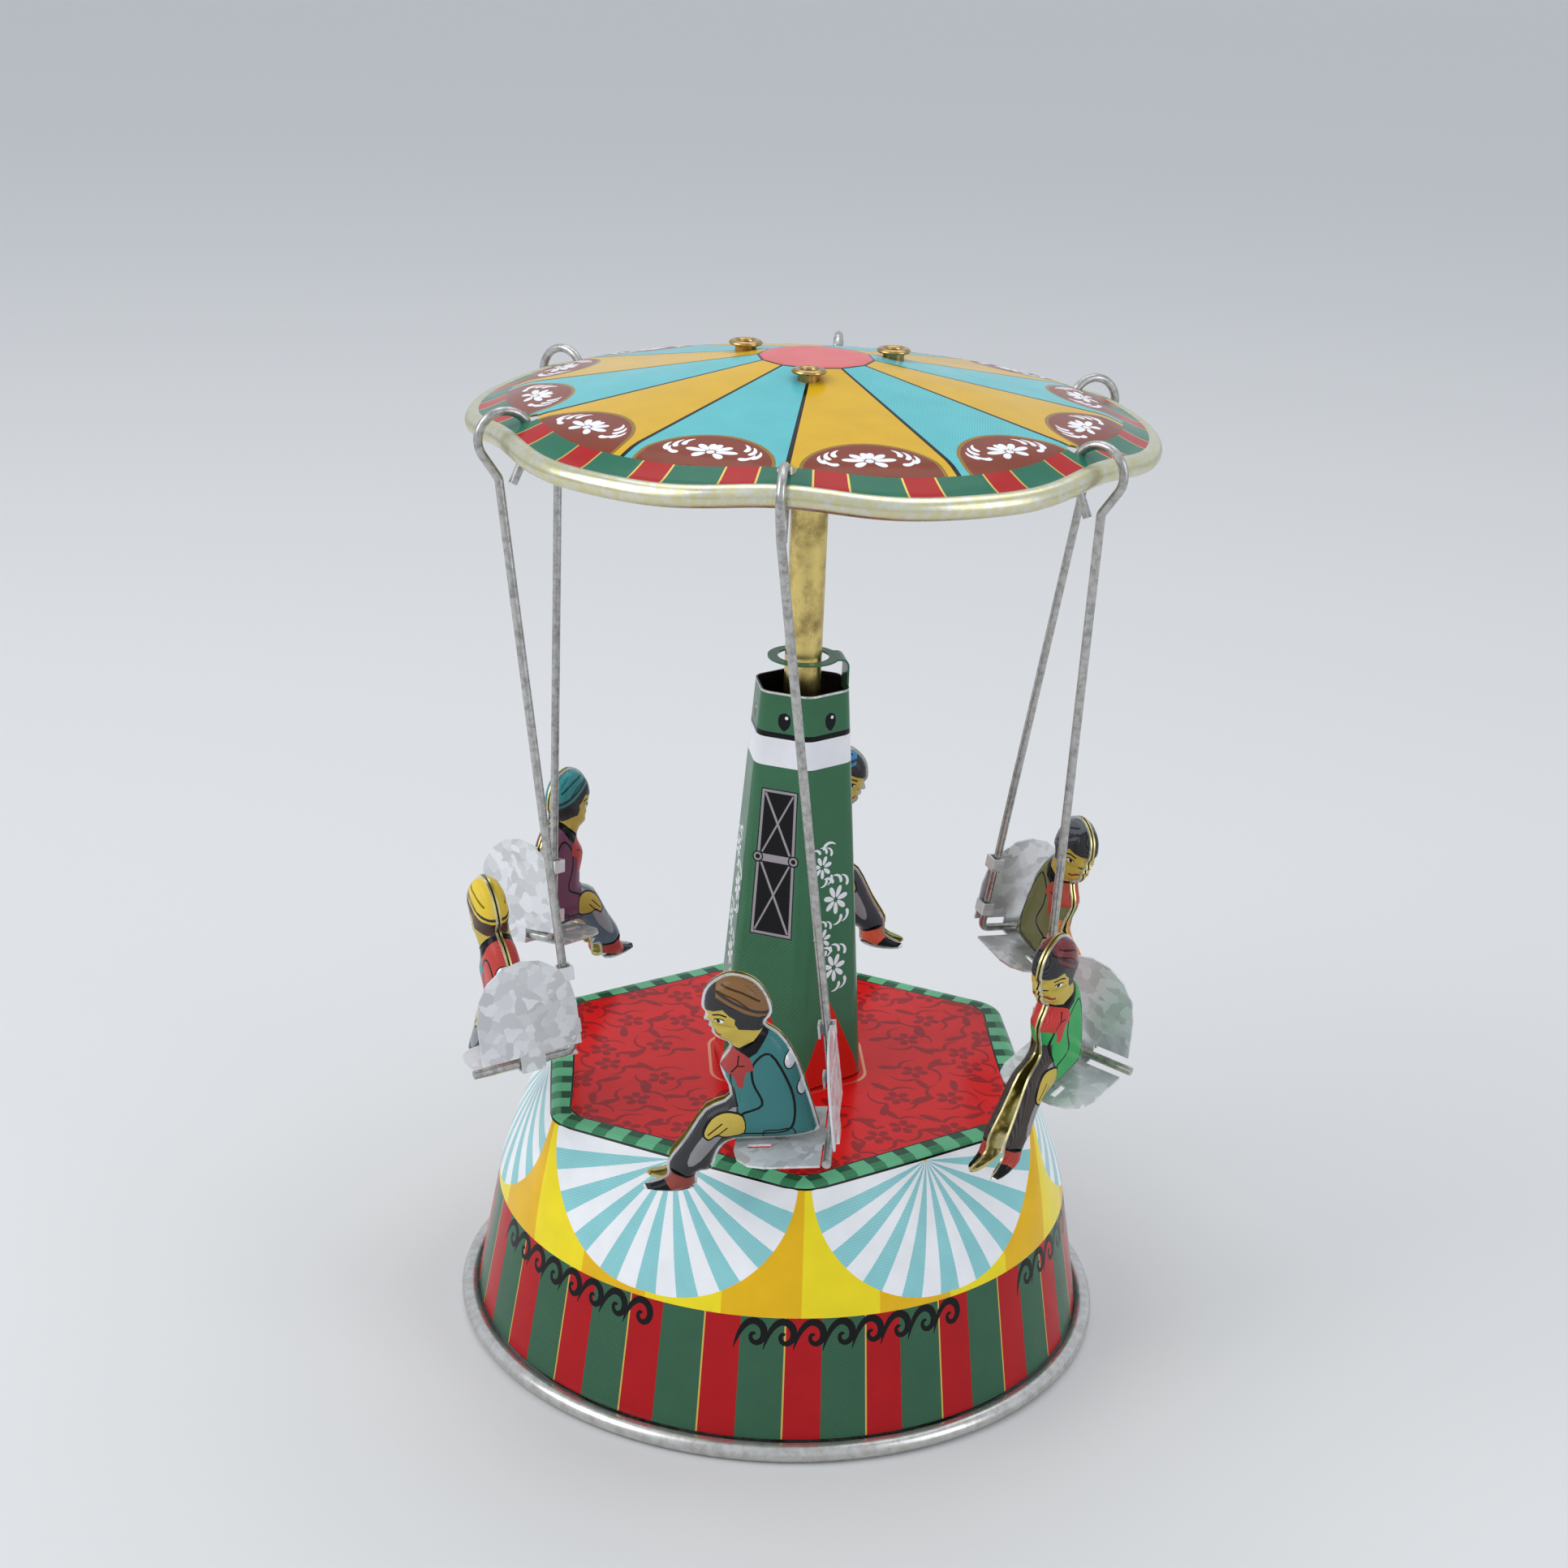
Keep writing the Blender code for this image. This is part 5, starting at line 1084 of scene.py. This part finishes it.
wire_tree = bent_wire()
drawn_wire = metal("drawn_wire", (0.5, 0.49, 0.47), (0.27, 0.26, 0.25), spots=900.0,
                   smear=250.0, finest=0.2, roughest=0.36, dent=0.15, metallic=0.85)
hook = [Vector((HOOK_RADIUS * math.cos(t), 0, HOOK_RADIUS * math.sin(t)))
        for t in between(math.radians(HOOK_END), math.radians(HOOK_START), 32)]
rod_way = seat_frame().to_3x3() @ Vector((1, 0, 0))
rod_end = SEAT_ROD + rod_way * (2 * SEAT_HALF_WIDTH - ROD_FROM_EDGE + ROD_STUB)
wire_line = [HOOK_STUB, *hook] + rounded([hook[-1], DOG_LEG, SEAT_ROD, rod_end], BEND_RADIUS)[1:]
for number in range(1, 7):
    curve = bpy.data.curves.new("hanger_line", "CURVE")
    curve.dimensions = "3D"
    spline = curve.splines.new("POLY")
    spline.points.add(len(wire_line) - 1)
    for target, point in zip(spline.points, wire_line):
        target.co = (*(swing_place(number) @ point * MM), 1)
    hanger = built(f"hanger_{number}", curve, wire_tree,
                   {"Radius": WIRE_RADIUS * MM, "Sides": 16, "Finish": drawn_wire}, sharp=50)
    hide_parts(f"hanger_wire_{number}")
    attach(hanger, f"swing_{number}")


# --- Seats ---------------------------------------------------------------------------------
# Bright spangled tinplate with a round backrest, two windows beside its middle strip, a
# seat plate, and clips folded round the wire.
def spangles(tree):
    """Sources for a material: facets of crystal, each with its own shade and gloss."""
    solid = tree.nodes.new("ShaderNodeTexCoord").outputs["Object"]
    bend = wired(tree, "ShaderNodeTexNoise", Vector=solid, Scale=260.0, Detail=3.0)
    mixed = wired(tree, "ShaderNodeVectorMath", operation="MULTIPLY_ADD")
    tree.links.new(bend.outputs["Color"], mixed.inputs[0])
    mixed.inputs[1].default_value = (0.004, 0.004, 0.004)
    tree.links.new(solid, mixed.inputs[2])
    cells = wired(tree, "ShaderNodeTexVoronoi", Vector=mixed.outputs[0], Scale=560.0)
    facet = wired(tree, "ShaderNodeSeparateColor", Color=cells.outputs["Color"]).outputs
    shade = wired(tree, "ShaderNodeMapRange", Value=facet[0], To_Min=0.56, To_Max=0.82)
    tone = wired(tree, "ShaderNodeHueSaturation", Color=(0.97, 0.98, 1.0, 1.0),
                 Value=shade.outputs[0])
    gloss = wired(tree, "ShaderNodeMapRange", Value=facet[1], To_Min=0.2, To_Max=0.45)
    return tone.outputs[0], gloss.outputs[0], facet[2]


spangle = surfaced("spangled_tin", spangles, 0.15, 0.06, Metallic=0.4)


def refinish(node, finish):
    """Gives a modelled part its finish."""
    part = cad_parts[node]
    part.data.materials.clear()
    part.data.materials.append(finish)


for number in range(1, 7):
    refinish(f"seat_{number}", spangle)


# --- Riders --------------------------------------------------------------------------------
# Each rider is two stamped halves, printed in profile and held together by folded lugs. The
# rims stay bright, and the insides are lacquered gold. The six differ only in their colours.
RIDER_DEPTH = 2.6
RIDER_GAP = 0.15  # from the middle to each half's rim
RIDER_TIN = 0.3
RIM_FLAT = 0.4  # bare flat rim round each half
CROWN_REACH = 3.4  # from the flat rim in to where the stamping is flat
LEG_SPLAY = 1.5
HIP, THIGH_TOP = 12.5, 7.2
RIDER_OUTLINE = (  # forward and up from the seat rod
    (12.2, 27.8), (9.2, 26.6), (7.5, 24.0), (7.0, 21.0), (8.2, 19.2), (6.4, 17.6),
    (4.9, 15.2), (3.6, 11.2), (1.9, 2.4), (2.2, 0.2), (7.9, -0.7), (14.6, -0.7),
    (17.2, -2.4), (18.6, -5.6), (20.7, -6.1), (21.4, -8.6), (24.4, -9.3), (28.7, -8.6),
    (29.1, -7.4), (25.6, -6.2), (25.2, -3.7), (22.2, 0.0), (18.6, 4.9), (14.6, 7.1),
    (15.7, 12.4), (13.8, 15.7), (15.4, 16.9), (16.3, 18.0), (16.2, 18.7), (16.7, 19.2),
    (16.5, 19.9), (17.3, 20.3), (16.9, 21.4), (17.4, 22.6), (16.7, 25.2), (14.8, 27.0),
)
LUGS = ((4.9, 13.3), (3.4, 8.6))
LUG_RADII = (0.75, 1.15)
TOE = max(forward for forward, up in RIDER_OUTLINE)


def closed_smooth(points, steps=3):
    """A rounder closed path through some points."""
    made = smoothed([points[-1], *points, points[0], points[1]], steps)
    return made[steps:-steps - 1]


rider_outline = closed_smooth(RIDER_OUTLINE)
outline_start = np.array(rider_outline)
outline_way = np.roll(outline_start, -1, axis=0) - outline_start


def from_outline(spots):
    """How far each spot lies from the rider's outline."""
    apart = spots[:, None, :] - outline_start
    share = (apart * outline_way).sum(2) / (outline_way**2).sum(1)
    away = apart - np.clip(share, 0, 1)[..., None] * outline_way
    return np.sqrt((away**2).sum(2)).min(1)


def crowned(depth):
    """Share of the full depth of the stamping, this far in from the outline."""
    share = min(max((depth - RIM_FLAT) / CROWN_REACH, 0.0), 1.0)
    return math.sqrt(1 - (1 - share) ** 2)


def oval(x, y, wide, high, turn=0.0, steps=16):
    """An oval by its half width and half height, turned by an angle."""
    way, side = (math.cos(turn), math.sin(turn)), (-math.sin(turn), math.cos(turn))
    return [(x + wide * c * way[0] + high * s * side[0], y + wide * c * way[1] + high * s * side[1])
            for c, s in arc((0, 0), 1, 0, 360 - 360 / steps, steps - 1)]


SLEEVE = closed_smooth([(7.6, 15.0), (10.3, 13.4), (10.6, 10.2), (9.6, 6.4), (13.2, 4.6), (13.9, 1.7),
                        (10.6, 1.2), (6.4, 1.6), (4.9, 4.2), (5.1, 9.0)], 4)
POCKET = closed_smooth([(9.8, 1.7), (7.6, 1.8), (5.4, 2.1), (5.3, 0.3), (7.4, 0.0), (9.8, 0.0)], 2)
RIDER_PRINT = [
    ("jacket", [(0, -2), (0, 20), (20, 20), (20, -2)]),
    ("trousers", [(14.8, -2), (14.5, 0.6), (13.2, 3.0), (13.3, 5.4), (13.6, 9), (20, 8), (30, 0),
                  (30, -12), (14.8, -12)]),
    # painted highlight: a lighter band down the front of the trousers, where light falls on the leg
    ("crease", petal((13.6, 5.9), -0.87, 12.6, 2.9)),
    ("boots", [(17, -7.5), (18.6, -7.2), (26.2, -4.2), (31, -5), (31, -12), (17, -12)]),
    ("toes", [(24.8, -12), (24.6, -8.2), (25.6, -6.9), (27.6, -6.6), (31, -6), (31, -12)]),
    ("toes", printed_line([(19.6, -8.4), (21.6, -8.6), (24.6, -9.3), (28.7, -8.6)], 1.3)),
    ("line", printed_line([(18.2, -7.5), (22, -5.9), (26.4, -4.0)], 0.4)),
    ("line", printed_line(SLEEVE + SLEEVE[:1], 0.38)),
    ("line", printed_line(POCKET + POCKET[:1], 0.28)),
    ("line", printed_line(smoothed([(13.6, 13.4), (14.1, 10.0), (13.4, 6.0)]), 0.3)),
    ("line", closed_smooth([(12.6, 4.7), (15.2, 5.2), (17.6, 4.3), (19.2, 1.8), (18.3, 0.6), (16.9, 1.3),
                            (15.6, 0.7), (12.8, 1.2)], 3)),
    ("skin", closed_smooth([(12.8, 4.4), (15.2, 4.9), (17.4, 4.0), (18.8, 1.8), (18.2, 0.9), (16.9, 1.6),
                            (15.6, 1.0), (12.9, 1.5)], 3)),
    ("line", printed_line([(15.9, 3.4), (18.3, 1.5)], 0.2)),
    ("line", printed_line([(15.2, 2.7), (17.1, 1.2)], 0.2)),
    ("skin", [(8.5, 18.3), (10.0, 22.6), (13.4, 26), (19, 26), (19, 17.6), (15.6, 15.2), (12.6, 15.0)]),
    ("collar", [(7.4, 19.4), (8.7, 18.6), (9.9, 17.4), (12.2, 16.1), (15.0, 16.2), (13.6, 15.2),
                (11.4, 14.2), (9.6, 15.4), (7.8, 17.9)]),
    ("scarf", closed_smooth([(14.2, 15.6), (12.3, 15.5), (10.7, 14.4), (10.4, 12.4), (11.6, 12.0),
                             (12.2, 9.4), (13.2, 9.6), (13.7, 11.6), (17, 12.0), (17, 14.6)], 2)),
    ("line", printed_line([(12.4, 14.8), (12.7, 13.2), (13.8, 12.0)], 0.22)),
    ("line", printed_line([(11.6, 13.2), (12.6, 13.1)], 0.2)),
    ("hair", [(5.5, 21.0), (7.3, 18.9), (9.0, 18.7), (10.3, 19.2), (11.9, 19.5), (12.4, 20.4),
              (12.3, 21.2), (13.1, 21.8), (14.0, 22.9), (15.5, 22.5), (16.9, 22.3), (18.6, 22.4),
              (18.6, 28), (12, 28)]),
    ("cap", [(5.5, 20.2), (7.1, 20.5), (10.8, 22.2), (14.9, 24.8), (14.8, 26.4), (14.0, 30), (5, 30)]),
    ("band", printed_line(smoothed([(6.8, 21.2), (10.6, 23.0), (14.8, 25.7)]), 0.45)),
    ("shade", printed_line(smoothed([(8.4, 23.6), (10.8, 25.4), (14.0, 26.6)]), 0.3)),
    ("shade", printed_line(smoothed([(9.8, 22.6), (12.0, 24.6), (15.4, 26.0)]), 0.25)),
    ("line", printed_line(smoothed([(13.5, 21.7), (14.6, 22.05), (15.7, 21.75)]), 0.28)),
    ("pale", oval(14.7, 20.9, 0.66, 0.34, 0.1)),
    ("line", oval(14.85, 20.9, 0.3, 0.32)),
    ("line", printed_line(smoothed([(13.9, 21.1), (14.6, 21.3), (15.5, 21.1)]), 0.2)),
    ("line", printed_line(smoothed([(15.9, 20.1), (16.3, 19.8), (16.6, 20.0)]), 0.2)),
    ("lips", printed_line(smoothed([(14.7, 18.4), (15.3, 18.35), (15.8, 18.7)]), 0.42)),
]
for x, y in LUGS:
    RIDER_PRINT.append(("line", oval(x, y, LUG_RADII[0] + 0.2, LUG_RADII[1] + 0.2)))
    RIDER_PRINT.append(("lug", oval(x, y, *LUG_RADII)))

# points inside the print, so that it can be crowned: a grid, and lines along the rim
GRID_STEP = 0.8
grid = np.array([(x, y) for x in np.arange(1, 30, GRID_STEP) for y in np.arange(-10, 29, GRID_STEP)])
grid = grid[inside(grid, rider_outline)]
rider_rows = [[tuple(spot)] for spot in grid[from_outline(grid) > GRID_STEP]]
inward = np.array([(-way[1], way[0]) for way in np.roll(outline_way, 1, axis=0) + outline_way])
inward /= np.linalg.norm(inward, axis=1)[:, None]
for depth in (RIM_FLAT, 0.55, 0.8, 1.2, 1.7):
    ring = outline_start + inward * depth
    clear = from_outline(ring) > depth - 0.02
    rider_rows += [[tuple(ring[n]), tuple(ring[n + 1])] for n in range(len(ring) - 1)
                   if clear[n] and clear[n + 1]]
rider_cut = cut_sheet(rider_outline, RIDER_PRINT, rider_rows)
rider_points, rider_triangles, rider_inks = rider_cut
rider_inks[from_outline(rider_points[rider_triangles].mean(axis=1)) < RIM_FLAT - 0.04] = None
rider_depths = dict(zip(map(tuple, rider_points), from_outline(rider_points)))


def stamped_rider(side, place):
    """Where a point of the flat print lies on the outer (+1) or inner (-1) half."""
    def put(flat):
        depth = rider_depths[tuple(flat)]
        out = RIDER_GAP + RIDER_TIN + (RIDER_DEPTH - RIDER_TIN) * crowned(depth)
        for x, y in LUGS:
            near = ((flat[0] - x) / LUG_RADII[0]) ** 2 + ((flat[1] - y) / LUG_RADII[1]) ** 2
            out += 0.3 * math.sqrt(max(1 - near, 0))
        if flat[1] < THIGH_TOP:
            out += LEG_SPLAY * max(flat[0] - HIP, 0) / (TOE - HIP)
        return place @ Vector((side * out, -flat[0], flat[1]))
    return put


SKIN = (0.5, 0.36, 0.05)
BLACK = (0.01, 0.01, 0.012)
RIDER_COLOURS = (  # cap, jacket, scarf, trousers, boots, hair
    ((0.2, 0.09, 0.02), (0.02, 0.16, 0.16), (0.34, 0.02, 0.015), (0.01, 0.01, 0.012),
     (0.24, 0.03, 0.015), BLACK),
    ((0.14, 0.01, 0.015), (0.01, 0.34, 0.07), (0.5, 0.02, 0.015), (0.03, 0.02, 0.015),
     (0.4, 0.03, 0.015), BLACK),
    ((0.1, 0.11, 0.13), (0.16, 0.17, 0.05), (0.45, 0.05, 0.02), (0.62, 0.2, 0.02),
     (0.05, 0.04, 0.04), BLACK),
    ((0.03, 0.2, 0.42), (0.75, 0.6, 0.01), (0.06, 0.35, 0.62), (0.02, 0.02, 0.03),
     (0.66, 0.07, 0.02), BLACK),
    ((0.02, 0.22, 0.24), (0.16, 0.03, 0.09), (0.5, 0.03, 0.02), (0.09, 0.13, 0.18),
     (0.42, 0.03, 0.02), BLACK),
    ((0.72, 0.5, 0.02), (0.5, 0.03, 0.02), (0.02, 0.2, 0.22), (0.04, 0.05, 0.08),
     (0.03, 0.03, 0.03), (0.05, 0.02, 0.01)),
)


def lighter(colour, share):
    return tuple(value + (0.8 - value) * share for value in colour)


shared_inks = {
    None: spangle, "lug": spangle, "skin": printed("skin_ink", SKIN, (0.62, 0.5, 0.14), 0.5, 3.2),
    "line": BASE_INKS["black"], "collar": BASE_INKS["black"], "toes": BASE_INKS["black"],
    "pale": printed("eye_ink", (0.8, 0.8, 0.78)), "lips": printed("lip_ink", (0.3, 0.05, 0.02)),
}
for number, (cap, jacket, scarf, trousers, boots, hair) in enumerate(RIDER_COLOURS, 1):
    inks = dict(shared_inks)
    for label, colour in (("cap", cap), ("band", BLACK), ("jacket", jacket), ("scarf", scarf),
                          ("trousers", trousers), ("boots", boots), ("hair", hair)):
        inks[label] = printed(f"{label}_ink_{number}", colour, lighter(colour, 0.08), 0.9, 3.4)
    inks["shade"] = printed(f"cap_line_ink_{number}", tuple(0.3 * value for value in cap))
    # the trousers' painted highlight, a lighter tint of their own colour
    inks["crease"] = printed(f"crease_ink_{number}", lighter(trousers, 0.3))
    place = swing_place(number) @ seat_frame()
    for half, side in (("outer", 1), ("inner", -1)):
        flat = sheet_mesh(f"rider_{number}_{half}_sheet", rider_cut, stamped_rider(side, place), inks)
        if side > 0:
            flat.flip_normals()
        rider = built(f"stamped_rider_{number}_{half}", flat, sheet_tree,
                      {"Copies": 1, "Turn": 0.0, "Thickness": RIDER_TIN * MM, "Weld": 1e-6,
                       "Back": gold_lacquer}, sharp=50)
        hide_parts(f"rider_{number}_{half}_half")
        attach(rider, f"swing_{number}")


# --- Cover, key, spider and motor ----------------------------------------------------------
# The tin cover under the drum, the steel winding key with its collar and arbor at the back,
# the spider under the canopy and the motor inside the drum keep their modelled shapes.
for node, finish in (("bottom_cover", bare_tin), ("winding_key", bead_tin), ("key_collar", bare_tin),
                     ("winding_arbor", drawn_wire), ("spider", gold_lacquer)):
    refinish(node, finish)
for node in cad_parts:
    if node.startswith(("front_", "back_", "pillar", "step_", "spindle", "lower_", "upper_")):
        refinish(node, bead_tin)
    elif node.startswith(("crown_", "governor_", "great_", "ratchet_")):
        refinish(node, eyelet_brass)
    elif node.startswith(("mainspring", "click_")):
        refinish(node, drawn_wire)


# --- Studio --------------------------------------------------------------------------------
# A pale floor, soft light from large panels, and a camera above the front.
FLOOR = 8.0
floor_mesh = bpy.data.meshes.new("floor")
floor_mesh.from_pydata([(-FLOOR, -FLOOR, 0), (FLOOR, -FLOOR, 0), (FLOOR, FLOOR, 0),
                        (-FLOOR, FLOOR, 0)], [], [(0, 1, 2, 3)])
floor_paint = bpy.data.materials.new("floor_paint")
floor_paint.use_nodes = True
paint = floor_paint.node_tree.nodes["Principled BSDF"].inputs
paint["Base Color"].default_value = (0.64, 0.635, 0.63, 1)
paint["Roughness"].default_value = 0.7
floor_mesh.materials.append(floor_paint)
floor = shape_object("floor", floor_mesh)

world = bpy.data.worlds.new("studio")
bpy.context.scene.world = world
world.use_nodes = True
sky = world.node_tree.nodes["Background"].inputs
sky["Color"].default_value = (0.86, 0.92, 1.0, 1)
sky["Strength"].default_value = 0.8


def panel_light(name, place, aim_height, width, height, power):
    """A soft rectangular light, aimed at the toy's axis at a height."""
    data = bpy.data.lights.new(name, "AREA")
    data.shape = "RECTANGLE"
    data.size, data.size_y = width, height
    data.energy = power
    made = shape_object(name, data)
    made.location = place
    made.rotation_euler = (Vector((0, 0, aim_height)) - Vector(place)).to_track_quat("-Z", "Y").to_euler()


panel_light("window_left", (-0.75, -0.25, 0.65), 0.07, 0.7, 0.7, 4.2)
panel_light("overhead", (0.1, 0.3, 1.0), 0.08, 0.9, 0.6, 2.6)
panel_light("fill_right", (0.7, -0.5, 0.4), 0.07, 0.4, 0.6, 1.4)

CAMERA_BACK, CAMERA_UP = 0.40878, 0.24269
CAMERA_AZIMUTH = math.radians(-4.79)
PITCH, YAW, ROLL = math.radians(20.02), math.radians(-0.32), math.radians(2.33)
lens = bpy.data.cameras.new("camera")
lens.sensor_width = 36.0
lens.lens = 60.8372
lens.clip_start = 0.01
camera = shape_object("camera", lens)
forward = Vector((math.sin(YAW) * math.cos(PITCH), math.cos(YAW) * math.cos(PITCH), -math.sin(PITCH)))
level = Vector((math.cos(YAW), -math.sin(YAW), 0))
upward = level.cross(forward)
across_view = level * math.cos(ROLL) + upward * math.sin(ROLL)
up_view = upward * math.cos(ROLL) - level * math.sin(ROLL)
axes = Matrix((across_view, up_view, -forward)).transposed().to_4x4()
stand = Matrix.Translation((0, -CAMERA_BACK, CAMERA_UP)) @ axes
camera.matrix_world = Matrix.Rotation(CAMERA_AZIMUTH, 4, "Z") @ stand
bpy.context.scene.camera = camera
bpy.context.scene.view_settings.view_transform = "Standard"
